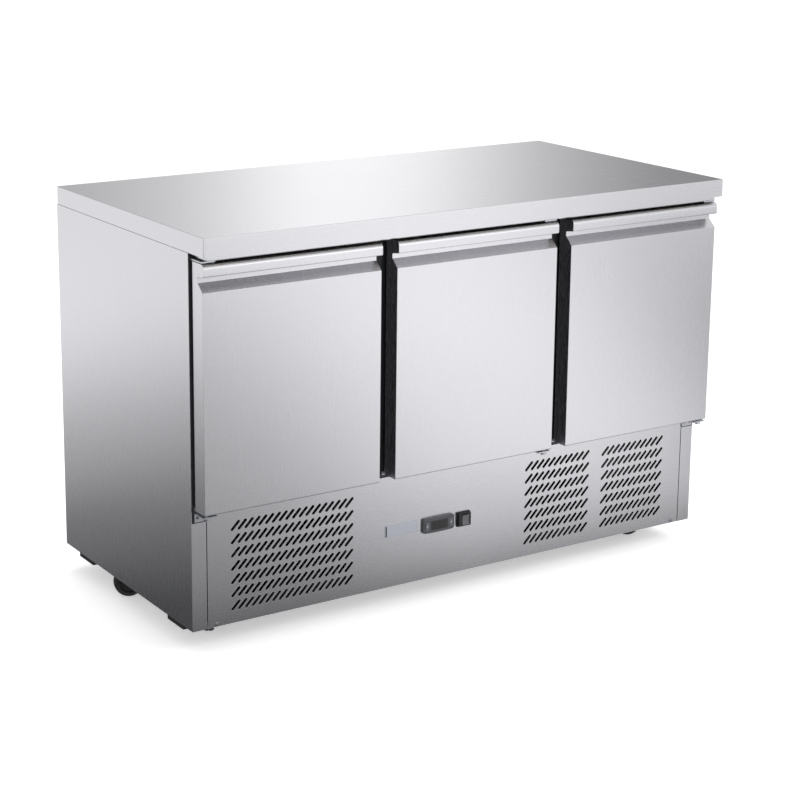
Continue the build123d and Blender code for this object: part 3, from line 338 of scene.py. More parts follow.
# passivated steel screws: duller and darker than the plated brackets
passivated = dict(zincPlate, dark="#7b7d82", light="#8c8e93", roughness=(0.38, 0.48))
# stoved black enamel on pressed steel: glossy with orange peel
enamelBlack = {"dark": "#111113", "light": "#18181b", "grain": 2.6, "drift": 40, "roughness": (0.22, 0.34),
               "depth": 0.05, "coat": 0.3}
# vacuum formed HIPS: cool white, low gloss
hips = {"dark": "#cfd1d4", "light": "#dadcde", "grain": 1.0, "drift": 90, "roughness": (0.40, 0.50),
        "depth": 0.02, "ior": 1.59}
# polyethylene dipped wire: off-white and waxy
dippedWire = {"dark": "#c9cbcc", "light": "#dcddde", "grain": 2.0, "drift": 50, "roughness": (0.30, 0.40),
              "depth": 0.03, "ior": 1.51}
# rolled fin stock: thin bright aluminium
finStock = {"dark": "#b3b6ba", "light": "#c8cacd", "grain": 1.5, "drift": 18, "roughness": (0.30, 0.42),
            "depth": 0.01, "metallic": 1.0}
# drawn copper tube: warm, browner where it was brazed
copperTube = {"dark": "#a8674a", "light": "#c9845f", "grain": 1.5, "drift": 26, "roughness": (0.25, 0.42),
              "depth": 0.01, "metallic": 1.0}
# polyurethane foam: straw coloured with open cells where it is cut
foamLook = {"dark": "#cbb884", "light": "#dccb9a", "grain": 1.2, "drift": 35, "roughness": (0.85, 0.95),
            "depth": 0.3}
# particle board: pressed chips, brown and matt
boardLook = {"dark": "#8a6c4b", "light": "#b3946c", "grain": 2.5, "drift": 5, "roughness": (0.75, 0.88),
             "depth": 0.1}
# anodised aluminium plate: satin, pale blue-grey
plateLook = {"dark": "#b3b6c0", "light": "#bcbfc8", "grain": 0.8, "drift": 60, "roughness": (0.30, 0.38),
             "depth": 0.01, "metallic": 0.6}
# smoked acrylic: near black and glossy
acrylic = {"dark": "#050506", "light": "#070708", "grain": 5.0, "drift": 40, "roughness": (0.10, 0.16),
           "depth": 0.0, "ior": 1.49, "coat": 0.4}
# unlit display segments behind the acrylic
segmentLook = dict(acrylic, dark="#121214", light="#161618", coat=0.0)

sheetUpright = brushedStainless("stainlessBrushedUpright", "z", stainless)
sheetLevel = brushedStainless("stainlessBrushedLevel", "x", stainless)
linerSheet = brushedStainless("stainlessLinerSoft", "z", linerLook)
zincSteel = galvanisedSteel("galvanisedSteelSpangled", zincSheet)
blackAbs = grainedSurface("absMouldedBlack", absBlack)
greyAbs = grainedSurface("absMouldedGrey", absGrey)
paleAbs = grainedSurface("absMouldedPaleGrey", absPale)
arrowInk = grainedSurface("inkPrintedGrey", dict(absBlack, dark="#8b8c90", light="#929397"))
darkPvc = grainedSurface("pvcExtrudedDark", pvcDark)
vinyl = grainedSurface("vinylGasketSoft", softVinyl)
wheelRubber = grainedSurface("rubberMouldedBlack", rubber)
brightZinc = grainedSurface("zincPlatedBright", zincPlate)
dullSteel = grainedSurface("steelPassivatedDull", passivated)
enamel = grainedSurface("enamelStovedBlack", enamelBlack)
whiteHips = grainedSurface("hipsFormedWhite", hips)
wireCoat = grainedSurface("polyethyleneDippedWire", dippedWire)
finAluminium = grainedSurface("aluminiumFinStock", finStock)
copper = grainedSurface("copperDrawnTube", copperTube)
foam = grainedSurface("polyurethaneFoam", foamLook)
chipboard = grainedSurface("particleBoardPressed", boardLook)
plateFinish = grainedSurface("aluminiumAnodisedSatin", plateLook)
smokedAcrylic = grainedSurface("acrylicSmoked", acrylic)
segmentPlastic = grainedSurface("displaySegmentUnlit", segmentLook)

paint(["worktop_skin", "worktop_lip", "front_panel"], sheetLevel)
paint(["side_panel_left", "side_panel_right"], sheetUpright)
paint(["inner_liner", "evaporator_cover"], linerSheet)
paint(["back_panel", "shelf_pilasters", "shelf_runners"], zincSteel)
paint(["worktop_board"], chipboard)
paint(["insulation"] + ["door_core_" + bay for bay in bays], foam)
paint(["door_frame", "mullion_left", "mullion_right"], darkPvc)
paint(["switch_bezel", "power_inlet"], blackAbs)
paint(["controller_housing"], greyAbs)
paint(["controller_key_left", "controller_key_right", "switch_rocker"], paleAbs)
paint(["controller_window"], smokedAcrylic)
paint(["name_plate"], plateFinish)
paint(["hinge_brackets_top", "hinge_brackets_bottom", "caster_plates"], brightZinc)
# the black enamel on the base pan and fan shroud is painted shade, so the grille slots read dark; the compressor,
# fan motors and condenser coil are stoved black in their own right
paint(["compressor", "fan_motors", "condenser_coil", "fan_shroud", "base_pan"], enamel)
paint(["caster_fork_" + place for place in casterPlaces], enamel)
paint(["skid_pads"], wheelRubber)
paint(["evaporator_coil"], finAluminium)
paint(["refrigerant_pipes"], copper)
print("finishes done")


doorSheet = {"noseReach": 5, "recessDepth": 20, "handleDrop": 59, "slopeHeight": 18, "mouth": 11, "noseHeight": 26,
             "noseRadius": 10, "lipRadius": 2.5, "bend": 1.6, "slopeBend": 0.7, "footBend": 3.0, "backBend": 0.8,
             "edge": 0.7}


def buildDoorSheet(bay, look):
    low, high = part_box("door_skin_" + bay)
    nose = low.y
    front = nose + look["noseReach"] * mm
    recess = front + look["recessDepth"] * mm
    corner = high.z - look["handleDrop"] * mm
    slopeTop = corner + look["slopeHeight"] * mm
    under = high.z - look["noseHeight"] * mm
    outline = [(high.y, low.z), (front, low.z), (front, corner), (recess, slopeTop),
               (recess, slopeTop + look["mouth"] * mm), (nose, under), (nose, high.z), (high.y, high.z)]
    radii = [look[corner] * mm for corner in ("backBend", "footBend", "slopeBend", "bend", "bend", "lipRadius",
                                              "noseRadius", "backBend")]
    rounded = roundCorners(outline, radii, steps=6)
    vertices, faces = prismAlongX(rounded, low.x, high.x, look["edge"] * mm)
    piece = addPiece("doorSheet_" + bay, vertices, faces, "door_" + bay, "stainless", sheetUpright,
                     smoothAngle=50)
    keepFlats(piece)
    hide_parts("door_skin_" + bay)


innerPanel = {"rimInset": 38, "panInset": 48, "rise": 5, "rimCorner": 12, "corner": 16, "ease": 0.7, "slope": 2,
              "beadStart": 14, "beadEnd": 24, "beadDeep": 1.2}


def buildInnerPanel(bay, look):
    low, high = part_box("door_inner_" + bay)
    centreX, centreZ = (low.x + high.x) / 2, (low.z + high.z) / 2
    halfX, halfZ = (high.x - low.x) / 2, (high.z - low.z) / 2
    sheetBack = high.y - look["rise"] * mm
    rim, pan, corner, slope = look["rimInset"], look["panInset"], look["corner"], look["slope"]
    beadStart, beadEnd = pan + look["beadStart"], pan + look["beadEnd"]
    beadFloor = high.y - look["beadDeep"] * mm
    steps = [(0, 2, low.y), (0, 2, sheetBack - 0.6 * mm), (0.6, 2, sheetBack),
             (rim, look["rimCorner"], sheetBack), (rim + slope, corner, sheetBack + look["ease"] * mm),
             (pan - slope, corner, high.y - look["ease"] * mm), (pan, corner, high.y),
             (beadStart, corner, high.y), (beadStart + slope, corner, beadFloor),
             (beadEnd - slope, corner, beadFloor), (beadEnd, corner, high.y)]
    rings = [roundedFrame(centreX, centreZ, halfX - inset * mm, halfZ - inset * mm, radius * mm, y)
             for inset, radius, y in steps]
    vertices, faces = pressedPlate(rings)
    piece = addPiece("doorInnerPanel_" + bay, vertices, faces, "door_" + bay, "door_plastic", whiteHips,
                     smoothAngle=60)
    keepFlats(piece)
    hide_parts("door_inner_" + bay)


# section of the seal in mm: across the ring from its outer edge, and out from the door
gasketSection = [(2, 0), (14, 0), (14, 1.2), (11.6, 1.7), (12.7, 2.6), (11.6, 3.5), (15.0, 4.0), (15.8, 4.7),
                 (15.8, 6.2), (15.0, 6.8), (1.0, 6.8), (0.2, 6.2), (0.2, 4.7), (1.0, 4.0), (4.4, 3.5), (3.3, 2.6),
                 (4.4, 1.7), (2, 1.2)]


def buildGasket(bay, section):
    low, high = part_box("door_gasket_" + bay)
    vertices = []
    for sideX, sideZ in ((1, 1), (-1, 1), (-1, -1), (1, -1)):
        cornerX = high.x if sideX > 0 else low.x
        cornerZ = high.z if sideZ > 0 else low.z
        for inward, out in section:
            vertices.append((cornerX - sideX * inward * mm, low.y + out * mm, cornerZ - sideZ * inward * mm))
    faces = bridgeLoops(4, len(section), closed=True)
    piece = addPiece("doorGasket_" + bay, vertices, faces, "door_" + bay, "seal_rubber", vinyl)
    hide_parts("door_gasket_" + bay)


for bay in bays:
    buildDoorSheet(bay, doorSheet)
    buildInnerPanel(bay, innerPanel)
    buildGasket(bay, gasketSection)
print("doors done")


trim = {"slotRise": 0.15, "slotRim": 1.0, "slotLong": 28.4, "slotWide": 6.8, "slotTilt": 45, "endPoints": 8,
        "pitchX": 16.55, "pitchZ": 29.5, "middleZ": 183.3, "rows": 7,
        "grilles": ((-438.3, 18), (272.6, 11), (496.7, 11))}


def buildSlotRims(look):
    # each slot is pressed outwards a little, so its edge catches the light
    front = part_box("front_panel")[0].y
    vertices, faces = [], []
    tilt = Matrix.Rotation(math.radians(look["slotTilt"]), 2)
    rings = ((0.3, -0.05), (0.45, look["slotRise"]), (0.7, look["slotRise"]), (look["slotRim"], -0.1))
    ends = look["endPoints"]
    for middle, columns in look["grilles"]:
        for column in range(columns):
            for row in range(look["rows"]):
                x = middle + (column - (columns - 1) / 2) * look["pitchX"]
                z = look["middleZ"] + (row - (look["rows"] - 1) / 2) * look["pitchZ"]
                first = len(vertices)
                for out, rise in rings:
                    halfLong = (look["slotLong"] - look["slotWide"]) / 2
                    for k in range(2 * ends):
                        angle = math.radians(90 - 180 * (k % ends) / (ends - 1) + (180 if k >= ends else 0))
                        radius = look["slotWide"] / 2 + out
                        side = 1 if k < ends else -1
                        spot = tilt @ Vector((side * halfLong + radius * math.cos(angle),
                                              radius * math.sin(angle)))
                        vertices.append(((x + spot.x) * mm, front - rise * mm, (z + spot.y) * mm))
                faces += bridgeLoops(len(rings), 2 * ends, first)
    addPiece("grilleSlotRims", vertices, faces, "cabinet", "stainless", sheetLevel, smoothAngle=70)


screws = {"crossLong": 0.62, "crossWide": 0.16, "crossDeep": 0.5, "crossTaper": 0.9, "turn": 0.13,
          "segments": 24}


def buildScrews(look):
    # pan heads with a cross recess, one for each screw solid
    vertices, faces = [], []
    count, taper = look["segments"], look["crossTaper"]
    angles = [2 * math.pi * k / count + look["turn"] for k in range(count)]
    for low, high in islands("cover_screws"):
        size = high - low
        thin = min(range(3), key=lambda i: size[i])
        middle = (low + high) / 2
        radius = max(size) / 2
        height = size[thin]
        outward = Vector((0, 0, 0))
        outward[thin] = -1 if thin == 1 else math.copysign(1, middle[thin])
        base = middle - outward * height / 2
        across = outward.orthogonal().normalized()
        upright = outward.cross(across)
        arm, slim = look["crossLong"] * radius, look["crossWide"] * radius
        cross = [(arm, slim), (slim, slim), (slim, arm), (-slim, arm), (-slim, slim), (-arm, slim),
                 (-arm, -slim), (-slim, -slim), (-slim, -arm), (slim, -arm), (slim, -slim), (arm, -slim)]
        first = len(vertices)
        rings = []
        for share, rise in ((1.0, 0.0), (1.0, 0.35), (0.93, 0.7), (0.8, 0.94), (0.66, 1.0)):
            rings.append([(radius * share * math.cos(angle), radius * share * math.sin(angle), rise * height)
                          for angle in angles])
        for ring in rings:
            vertices += [base + across * a + upright * b + outward * c for a, b, c in ring]
        faces += bridgeLoops(len(rings), count, first)
        faces.append([first + k for k in range(count)])
        rim = first + (len(rings) - 1) * count
        crossTop = len(vertices)
        vertices += [base + across * a + upright * b + outward * height for a, b in cross]
        crossDown = len(vertices)
        deep = (1 - look["crossDeep"]) * height
        vertices += [base + across * a * taper + upright * b * taper + outward * deep for a, b in cross]
        faces += bridgeLoops(2, len(cross), crossTop)
        faces.append([crossDown + k for k in range(len(cross))])
        for k in range(count):
            near = k * len(cross) // count
            following = (k + 1) * len(cross) // count % len(cross)
            if near == following:
                faces.append((rim + k, rim + (k + 1) % count, crossTop + near))
            else:
                faces.append((rim + k, rim + (k + 1) % count, crossTop + following, crossTop + near))
    piece = addPiece("panHeadScrews", vertices, faces, "cabinet", "zinc", dullSteel, smoothAngle=40)
    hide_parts("cover_screws")


def addBlock(parts, low, high, edge):
    # a box with the edges round its front face broken, sizes in metres
    vertices, faces = parts
    first = len(vertices)
    for y, inset in ((high.y, 0), (low.y + edge, 0), (low.y, edge)):
        vertices += [(low.x + inset, y, low.z + inset), (high.x - inset, y, low.z + inset),
                     (high.x - inset, y, high.z - inset), (low.x + inset, y, high.z - inset)]
    faces += bridgeLoops(3, 4, first)
    faces += [[first + k for k in range(4)], [first + 8 + k for k in range(4)]]


clips = {"across": ((-217, -205), (248, 260)), "low": 321, "high": 330, "front": -287.4, "edge": 0.8,
         "foldInset": 1.5, "foldOut": 1.6, "foldUp": 2.4, "foldEdge": 0.5}


def buildStopClips(look):
    # small bright clips on the frame, one at the foot of each gap between doors
    parts = ([], [])
    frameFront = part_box("door_frame")[0].y
    for lowX, highX in look["across"]:
        low = Vector((lowX * mm, look["front"] * mm, look["low"] * mm))
        high = Vector((highX * mm, frameFront - 0.1 * mm, look["high"] * mm))
        addBlock(parts, low, high, look["edge"] * mm)
        step = Vector((look["foldInset"] * mm, 0, 0))
        addBlock(parts, low + step + Vector((0, -look["foldOut"] * mm, look["foldUp"] * mm)),
                 Vector((high.x, low.y, high.z)) - step - Vector((0, 0, look["foldUp"] * mm)),
                 look["foldEdge"] * mm)
    addPiece("doorStopClips", *parts, "cabinet", "zinc", brightZinc)


plateLip = {"rim": 1.6, "rise": 0.35, "leftBar": 5.0}


def buildNamePlate(look):
    # blank rating plate: raised rim and a dark bar down its left edge
    low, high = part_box("name_plate")
    centreX, centreZ = (low.x + high.x) / 2, (low.z + high.z) / 2
    halfX, halfZ = (high.x - low.x) / 2, (high.z - low.z) / 2
    steps = ((0, 2.0, high.y), (0, 2.0, low.y + 0.15 * mm), (0.2, 1.9, low.y), (look["rim"], 1.2, low.y),
             (look["rim"] + 0.3, 1.0, low.y + look["rise"] * mm))
    rings = [roundedFrame(centreX, centreZ, halfX - inset * mm, halfZ - inset * mm, radius * mm, y)
             for inset, radius, y in steps]
    vertices, faces = pressedPlate(rings)
    plate = addPiece("namePlateBlank", vertices, faces, "cabinet", "plate_aluminium", plateFinish)
    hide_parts("name_plate")
    bar = ([], [])
    addBlock(bar, Vector((low.x + look["rim"] * mm, low.y + 0.02 * mm, low.z + 2 * mm)),
             Vector((low.x + look["leftBar"] * mm, low.y + look["rise"] * mm, high.z - 2 * mm)), 0.05 * mm)
    addPiece("namePlateBar", *bar, "cabinet", "plate_aluminium", blackAbs)


panelArt = {"arrow": 3.2, "proud": 0.12, "digits": 3, "digitWide": 8.5, "digitHigh": 13.5, "digitGap": 4.2,
            "stroke": 1.5, "slant": 0.12}


def buildControllerArt(look):
    for side, turn in (("left", 1), ("right", -1)):
        low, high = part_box("controller_key_" + side)
        x, z = (low.x + high.x) / 2, (low.z + high.z) / 2
        front = low.y - look["proud"] * mm
        size = look["arrow"] * mm
        vertices = [(x - size, front, z - 0.6 * turn * size), (x + size, front, z - 0.6 * turn * size),
                    (x, front, z + 1.1 * turn * size)]
        vertices += [(vx, low.y + 0.05 * mm, vz) for vx, vy, vz in vertices]
        faces = [(0, 1, 2), (3, 4, 5), (0, 1, 4, 3), (1, 2, 5, 4), (2, 0, 3, 5)]
        addPiece("keyArrow_" + side, vertices, faces, "key_" + side, "grey_plastic", arrowInk)
    low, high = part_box("controller_window")
    parts = ([], [])
    stroke = look["stroke"] * mm
    wide, tall = look["digitWide"] * mm, look["digitHigh"] * mm
    middleX, middleZ = (low.x + high.x) / 2, (low.z + high.z) / 2
    step = wide + look["digitGap"] * mm
    for place in range(look["digits"]):
        startX = middleX + (place - (look["digits"] - 1) / 2) * step - wide / 2
        startZ = middleZ - tall / 2
        half = tall / 2
        bars = [(stroke, 0, wide - stroke, stroke),
                (stroke, half - stroke / 2, wide - stroke, half + stroke / 2),
                (stroke, tall - stroke, wide - stroke, tall), (0, stroke, stroke, half - stroke / 2),
                (wide - stroke, stroke, wide, half - stroke / 2), (0, half + stroke / 2, stroke, tall - stroke),
                (wide - stroke, half + stroke / 2, wide, tall - stroke)]
        for left, bottom, right, top in bars:
            first = len(parts[0])
            corners = [(left, bottom), (right, bottom), (right, top), (left, top)]
            for y in (low.y - 0.05 * mm, low.y + 0.1 * mm):
                parts[0].extend((startX + a + b * look["slant"], y, startZ + b) for a, b in corners)
            parts[1].extend([[first + k for k in range(4)], [first + 4 + k for k in range(4)]])
            parts[1].extend(bridgeLoops(2, 4, first))
    addPiece("displaySegments", *parts, "cabinet", "window", segmentPlastic)


buildSlotRims(trim)
buildScrews(screws)
buildStopClips(clips)
buildNamePlate(plateLip)
buildControllerArt(panelArt)
print("front trim done")


# tyre, web and hub of one wheel in mm: radius, then place along the axle from the middle
wheelSection = [(4.4, -11.9), (8.0, -12.2), (10.5, -12.0), (11.2, -9.2), (16.0, -8.9), (22.6, -9.2), (24.0, -12.0),
                (24.8, -12.45), (29.5, -12.45), (32.4, -11.2), (34.2, -8.6), (34.9, -5.2), (34.95, -1.6),
                (34.2, -0.9), (34.2, 0.9), (34.95, 1.6), (34.9, 5.2), (34.2, 8.6), (32.4, 11.2), (29.5, 12.45),
                (24.8, 12.45), (24.0, 12.0), (22.6, 9.2), (16.0, 8.9), (11.2, 9.2), (10.5, 12.0), (8.0, 12.2),
                (4.4, 11.9), (4.4, -11.9)]
wheelRibs = {"count": 10, "side": 9.4, "inner": 10.8, "outer": 23.6, "thick": 1.1}


def buildWheels(section, ribs):
    for place in casterPlaces:
        centre, axle = jointOf("wheel_" + place)
        vertices, faces = lathe(section, centre, axle.normalized(), segments=64)
        spokes = (vertices, faces)
        across = axle.orthogonal().normalized()
        upright = axle.cross(across).normalized()
        for k in range(ribs["count"]):
            angle = 2 * math.pi * k / ribs["count"]
            outward = across * math.cos(angle) + upright * math.sin(angle)
            for side in (-1, 1):
                face = centre + axle * ribs["side"] * side * mm
                addRod(spokes, face + outward * ribs["inner"] * mm, face + outward * ribs["outer"] * mm,
                       ribs["thick"] * mm, sides=6)
        piece = addPiece("wheelTyre_" + place, *spokes, "wheel_" + place, "rubber", wheelRubber,
                         smoothAngle=28)
        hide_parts("caster_wheel_" + place)


buildWheels(wheelSection, wheelRibs)
print("wheels done")


shelfWire = {"rod": 6, "wire": 3, "wires": 13, "bars": 2, "bend": 9}


def buildShelf(bay, look):
    low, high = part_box("wire_shelf_" + bay)
    rod, wire = look["rod"] * mm / 2, look["wire"] * mm / 2
    parts = ([], [])
    left, right, front, back = low.x + rod, high.x - rod, low.y + rod, high.y - rod
    level = low.z + rod
    corners = [Vector((left, front, level)), Vector((right, front, level)), Vector((right, back, level)),
               Vector((left, back, level))]
    bend = look["bend"] * mm
    for i, here in enumerate(corners):
        there = corners[(i + 1) % 4]
        along = (there - here).normalized()
        addRod(parts, here + along * bend, there - along * bend, rod, sides=12)
        before = (corners[i - 1] - here).normalized()
        pivot = here + (along + before) * bend
        last = here + before * bend
        for k in range(1, 7):
            turn = math.radians(15 * k)
            spot = pivot - along * bend * math.cos(turn) - before * bend * math.sin(turn)
            addRod(parts, last, spot, rod, sides=12)
            last = spot
    top = high.z - wire
    for k in range(look["wires"]):
        x = left + (right - left) * (k + 1) / (look["wires"] + 1)
        addRod(parts, Vector((x, low.y + rod * 0.6, top)), Vector((x, high.y - rod * 0.6, top)), wire)
    for k in range(look["bars"]):
        y = front + (back - front) * (k + 1) / (look["bars"] + 1)
        addRod(parts, Vector((left, y, level)), Vector((right, y, level)), rod * 0.8)
    piece = addPiece("wireShelfRods_" + bay, *parts, "cabinet", "shelf_wire", wireCoat, smoothAngle=60)
    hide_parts("wire_shelf_" + bay)


for bay in bays:
    buildShelf(bay, shelfWire)


fanBlades = {"condenser_fan": {"blades": 5, "sweep": 52, "skew": 18, "hub": 0.27, "thick": 1.4},
             "evaporator_fan": {"blades": 7, "sweep": 36, "skew": 14, "hub": 0.30, "thick": 1.2}}


def buildFan(name, look):
    low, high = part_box(name)
    centre = jointOf(name)[0]
    reach = (high.x - low.x) / 2 / mm
    depth = (high.y - low.y) / mm
    middleY = (low.y + high.y) / 2
    hub = reach * look["hub"]
    section = [(0.1, -depth / 2), (hub * 0.8, -depth / 2), (hub * 0.96, -depth / 2 + 1), (hub, -depth / 2 + 3),
               (hub, depth / 2 - 1), (hub - 1, depth / 2), (0.1, depth / 2)]
    vertices, faces = lathe(section, Vector((centre.x, middleY, centre.z)), Vector((0, 1, 0)), segments=40)
    rows, columns = 7, 8
    for blade in range(look["blades"]):
        for side in (-1, 1):
            first = len(vertices)
            for row in range(rows):
                share = row / (rows - 1)
                radius = (hub - 0.5) + (reach - 0.4 - hub) * share
                for column in range(columns):
                    chord = column / (columns - 1) - 0.5
                    angle = math.radians(360 * blade / look["blades"]
                                         + look["sweep"] * chord * (0.8 + 0.35 * share)
                                         + look["skew"] * share * share)
                    rise = (depth - 2.5) * chord * 0.9 + 1.1 * math.cos(math.pi * chord) - 0.8
                    half = side * look["thick"] / 2 * (0.35 + 0.65 * math.cos(math.pi * chord))
                    vertices.append(Vector((centre.x + radius * math.cos(angle) * mm,
                                            middleY + (rise + half) * mm,
                                            centre.z + radius * math.sin(angle) * mm)))
            for row in range(rows - 1):
                for column in range(columns - 1):
                    a = first + row * columns + column
                    faces.append((a, a + 1, a + columns + 1, a + columns))
        front, other = first - rows * columns, first
        edge = ([row * columns for row in range(rows)] + [(rows - 1) * columns + c for c in range(1, columns)]
                + [row * columns + columns - 1 for row in range(rows - 2, -1, -1)]
                + [c for c in range(columns - 2, 0, -1)])
        for i, here in enumerate(edge):
            there = edge[(i + 1) % len(edge)]
            faces.append((front + here, front + there, other + there, other + here))
    piece = addPiece(name + "Blades", vertices, faces, name, "black_plastic", blackAbs, smoothAngle=45)
    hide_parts(name)


for fan, look in fanBlades.items():
    buildFan(fan, look)


fanGuard = {"centre": (85, 697), "rings": (16, 28, 40, 52, 63), "wire": 1.0, "spokes": 6, "spokeFrom": 8,
            "spokeTo": 66, "behind": 1.0, "gap": 1.2, "segments": 48}


def buildFanGuard(look):
    # concentric wire guard in front of the evaporator fan
    parts = ([], [])
    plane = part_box("evaporator_cover")[0].y - look["gap"] * mm
    middle = Vector((look["centre"][0] * mm, plane, look["centre"][1] * mm))
    for radius in look["rings"]:
        first = len(parts[0])
        for k in range(look["segments"]):
            angle = 2 * math.pi * k / look["segments"]
            outward = Vector((math.cos(angle), 0, math.sin(angle)))
            for j in range(6):
                lean = 2 * math.pi * j / 6
                spot = outward * (radius + look["wire"] * math.cos(lean)) * mm
                parts[0].append(middle + spot + Vector((0, look["wire"] * math.sin(lean) * mm, 0)))
        parts[1].extend(bridgeLoops(look["segments"], 6, first, closed=True))
    for k in range(look["spokes"]):
        angle = 2 * math.pi * k / look["spokes"]
        outward = Vector((math.cos(angle), 0, math.sin(angle)))
        back = Vector((0, look["behind"] * mm, 0))
        addRod(parts, middle + outward * look["spokeFrom"] * mm + back,
               middle + outward * look["spokeTo"] * mm + back, look["wire"] * mm, sides=6)
    addPiece("evaporatorFanGuard", *parts, "cabinet", "shelf_wire", brightZinc, smoothAngle=60)


buildFanGuard(fanGuard)
print("inside pieces done")


shot = {"target": (-0.1466, 0, 0.6472), "azimuth": -32.059, "elevation": 13.148, "roll": 0.248, "distance": 4.512,
        "lens": 90.28, "shift": (0.0696, -0.1203)}


def setCamera(look):
    azimuth, elevation = math.radians(look["azimuth"]), math.radians(look["elevation"])
    back = Vector((math.sin(azimuth) * math.cos(elevation), -math.cos(azimuth) * math.cos(elevation),
                   math.sin(elevation)))
    data = bpy.data.cameras.new("camera")
    data.lens = look["lens"]
    data.shift_x, data.shift_y = look["shift"]
    camera = bpy.data.objects.new("camera", data)
    bpy.context.scene.collection.objects.link(camera)
    camera.location = Vector(look["target"]) + back * look["distance"]
    camera.rotation_mode = "QUATERNION"
    facing = (-back).to_track_quat("-Z", "Y")
    camera.rotation_quaternion = facing @ Matrix.Rotation(math.radians(look["roll"]), 3, "Z").to_quaternion()
    bpy.context.scene.camera = camera


def seenRays(tree):
    # 1 for camera, mirror and see-through rays, 0 for the rays that light the object
    path = addNode(tree, "ShaderNodeLightPath")
    some = addNode(tree, "ShaderNodeMath", {0: path.outputs["Is Camera Ray"], 1: path.outputs["Is Glossy Ray"]},
                   operation="MAXIMUM")
    every = addNode(tree, "ShaderNodeMath", {0: some.outputs[0], 1: path.outputs["Is Transmission Ray"]},
                    operation="MAXIMUM")
    return every.outputs[0]


room = {"fill": 0.75, "floorSize": 40, "floorTone": "#f2f2f3", "floorGlow": 0.45}


def buildWorld(look):
    world = bpy.data.worlds.new("studioWorld")
    bpy.context.scene.world = world
    world.use_nodes = True
    tree = world.node_tree
    tree.nodes.clear()
    level = addNode(tree, "ShaderNodeMapRange",
                    {"Value": seenRays(tree), "To Min": look["fill"], "To Max": 1.0})
    light = addNode(tree, "ShaderNodeBackground", {"Strength": level.outputs[0]})
    light.inputs["Color"].default_value = (1.0, 1.0, 1.0, 1.0)
    addNode(tree, "ShaderNodeOutputWorld", {"Surface": light.outputs[0]})


def buildFloor(look):
    material, tree = newMaterial("floorPaleMatt")
    matt = addNode(tree, "ShaderNodeBsdfDiffuse", {"Color": toLinear(look["floorTone"])})
    glow = addNode(tree, "ShaderNodeEmission", {"Strength": look["floorGlow"]})
    bright = addNode(tree, "ShaderNodeAddShader", {0: matt.outputs[0], 1: glow.outputs[0]})
    seen = addNode(tree, "ShaderNodeMixShader",
                   {0: seenRays(tree), 1: matt.outputs[0], 2: bright.outputs[0]})
    closeMaterial(tree, seen)
    half = look["floorSize"] / 2
    mesh = bpy.data.meshes.new("floor")
    mesh.from_pydata([(-half, -half, 0), (half, -half, 0), (half, half, 0), (-half, half, 0)], [],
                     [(0, 1, 2, 3)])
    mesh.materials.append(material)
    floor = bpy.data.objects.new("floor", mesh)
    bpy.context.scene.collection.objects.link(floor)


# boards that only mirror rays see, shaped for the main view: near left, near right, far right and far left
# corners in metres, the tone, and how solid the board is at shares of the way across it and along it
boards = {
    "leftFloor": {"corners": ((-0.685, -1.6, 0.004), (-4.0, -1.6, 0.004),
                              (-4.0, 2.8, 0.004), (-0.685, 2.8, 0.004)),
                  "tone": "#17181f", "across": ((0.0, 0.0), (1.0, 0.0)),
                  "along": ((0.36, 0.93), (0.51, 0.80), (0.58, 0.65), (0.70, 0.47), (0.77, 0.30), (0.86, 0.15),
                            (0.95, 0.0))},
    "rightFloor": {"corners": ((0.685, -0.2, 0.004), (4.0, -0.2, 0.004),
                               (4.0, 3.4, 0.004), (0.685, 3.4, 0.004)),
                   "tone": "#17181f", "across": ((0.0, 0.0), (1.0, 0.0)),
                   "along": ((0.04, 0.80), (0.20, 0.62), (0.36, 0.45), (0.55, 0.25), (0.75, 0.12), (0.95, 0.0))},
    "frontFloor": {"corners": ((-1.3, -0.3, 0.004), (1.6, -0.3, 0.004),
                               (4.2, -3.9, 0.004), (-0.4, -3.9, 0.004)),
                   "tone": "#141416",
                   "across": ((0.15, 0.68), (0.26, 0.60), (0.33, 0.50), (0.41, 0.24), (0.48, 0.04), (0.62, 0.0),
                              (0.73, 0.18), (0.80, 0.52), (0.95, 0.90)),
                   "along": ((0.0, 0.74), (0.09, 0.34), (0.24, 0.11), (0.40, 0.17), (0.60, 0.07), (0.75, 0.02))},
    "backWall": {"corners": ((-1.0, 2.5, 0.6), (5.0, 2.5, 0.6), (5.0, 2.5, 3.2), (-1.0, 2.5, 3.2)),
                 "tone": "#1c1e28",
                 "across": ((0.10, 0.52), (0.22, 0.40), (0.28, 0.20), (0.33, 0.05), (0.42, 0.0), (0.47, 0.12),
                            (0.51, 0.20), (0.56, 0.30), (0.61, 0.50), (0.67, 0.68), (0.83, 0.78)),
                 "along": ((0.0, 0.0), (1.0, 0.0))},
    "backGlow": {"corners": ((0.2, 2.45, 0.6), (2.6, 2.45, 0.6), (2.6, 2.45, 3.0), (0.2, 2.45, 3.0)),
                 "tone": "#ffffff", "glow": 1.37,
                 "across": ((0.20, 0.0), (0.29, 0.2), (0.37, 0.7), (0.44, 1.0), (0.54, 1.0), (0.65, 0.75),
                            (0.75, 0.35), (0.88, 0.0)),
                 "along": ((0.0, 0.0), (1.0, 0.0))},
}


def clearShare(tree, along, stops):
    ramp = addNode(tree, "ShaderNodeValToRGB", {"Fac": along})
    elements = ramp.color_ramp.elements
    for number, (place, solid) in enumerate(stops):
        stop = elements[number] if number < 2 else elements.new(place)
        stop.position = place
        stop.color = (1 - solid, 1 - solid, 1 - solid, 1.0)
    return ramp.outputs["Color"]


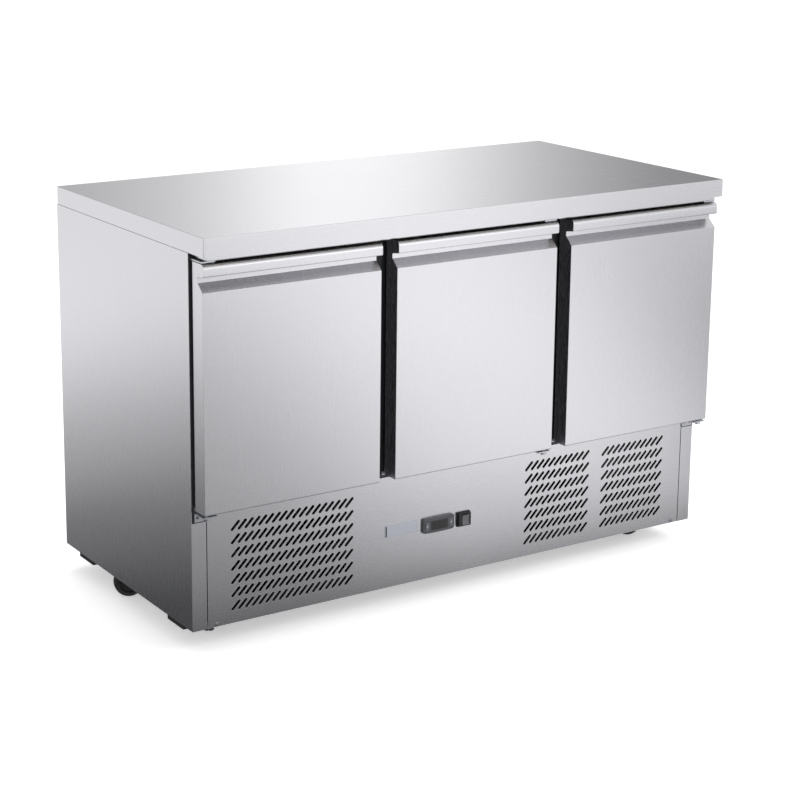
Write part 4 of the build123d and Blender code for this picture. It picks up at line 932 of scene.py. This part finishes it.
def buildBoard(name, look):
    material, tree = newMaterial(name + "Board")
    place = addNode(tree, "ShaderNodeUVMap")
    split = addNode(tree, "ShaderNodeSeparateXYZ", {"Vector": place.outputs[0]})
    clear = addNode(tree, "ShaderNodeMath", {0: clearShare(tree, split.outputs["X"], look["across"]),
                                             1: clearShare(tree, split.outputs["Y"], look["along"])},
                    operation="MULTIPLY")
    shown = addNode(tree, "ShaderNodeEmission",
                    {"Color": toLinear(look["tone"]), "Strength": look.get("glow", 1.0)})
    seeThrough = addNode(tree, "ShaderNodeBsdfTransparent")
    mixed = addNode(tree, "ShaderNodeMixShader",
                    {0: clear.outputs[0], 1: shown.outputs[0], 2: seeThrough.outputs[0]})
    closeMaterial(tree, mixed)
    nearLeft, nearRight, farRight, farLeft = [Vector(corner) for corner in look["corners"]]
    parts = 12
    spots = [(i / parts, j / parts) for j in range(parts + 1) for i in range(parts + 1)]
    mesh = bpy.data.meshes.new(name)
    mesh.from_pydata([nearLeft.lerp(nearRight, u).lerp(farLeft.lerp(farRight, u), v) for u, v in spots], [],
                     [(k, k + 1, k + parts + 2, k + parts + 1) for k in range(len(spots) - parts - 2)
                      if k % (parts + 1) < parts])
    layer = mesh.uv_layers.new(name="UVMap")
    for loop, uv in zip(mesh.loops, layer.data):
        uv.uv = spots[loop.vertex_index]
    mesh.materials.append(material)
    board = bpy.data.objects.new(name, mesh)
    bpy.context.scene.collection.objects.link(board)
    for kind in ("visible_camera", "visible_shadow", "visible_diffuse", "visible_transmission"):
        setattr(board, kind, False)


# soft boxes: where, aimed at, width and height in metres, watts, and whether the metal mirrors them
lamps = {
    "keyBox": {"at": (1.8, -3.2, 2.6), "aim": (0, 0, 0.5), "size": (2.0, 1.6), "power": 60,
               "mirrored": False},
    "frontBox": {"at": (1.9, -3.8, 1.3), "aim": (0, -0.3, 0.6), "size": (1.6, 1.6), "power": 10,
                 "mirrored": True},
    "topBox": {"at": (0.3, 2.0, 3.0), "aim": (0, 0, 0.9), "size": (2.0, 1.6), "power": 40,
               "mirrored": False},
}


def addLamp(name, look):
    data = bpy.data.lights.new(name, "AREA")
    data.shape = "RECTANGLE"
    data.size, data.size_y = look["size"]
    data.energy = look["power"]
    lamp = bpy.data.objects.new(name, data)
    bpy.context.scene.collection.objects.link(lamp)
    lamp.location = look["at"]
    lamp.rotation_mode = "QUATERNION"
    lamp.rotation_quaternion = (Vector(look["aim"]) - Vector(look["at"])).to_track_quat("-Z", "Y")
    lamp.visible_glossy = look["mirrored"]
    lamp.visible_camera = False


setCamera(shot)
buildWorld(room)
buildFloor(room)
for name, look in boards.items():
    buildBoard(name, look)
for name, look in lamps.items():
    addLamp(name, look)
bpy.context.scene.view_settings.view_transform = "Standard"
print("studio done")
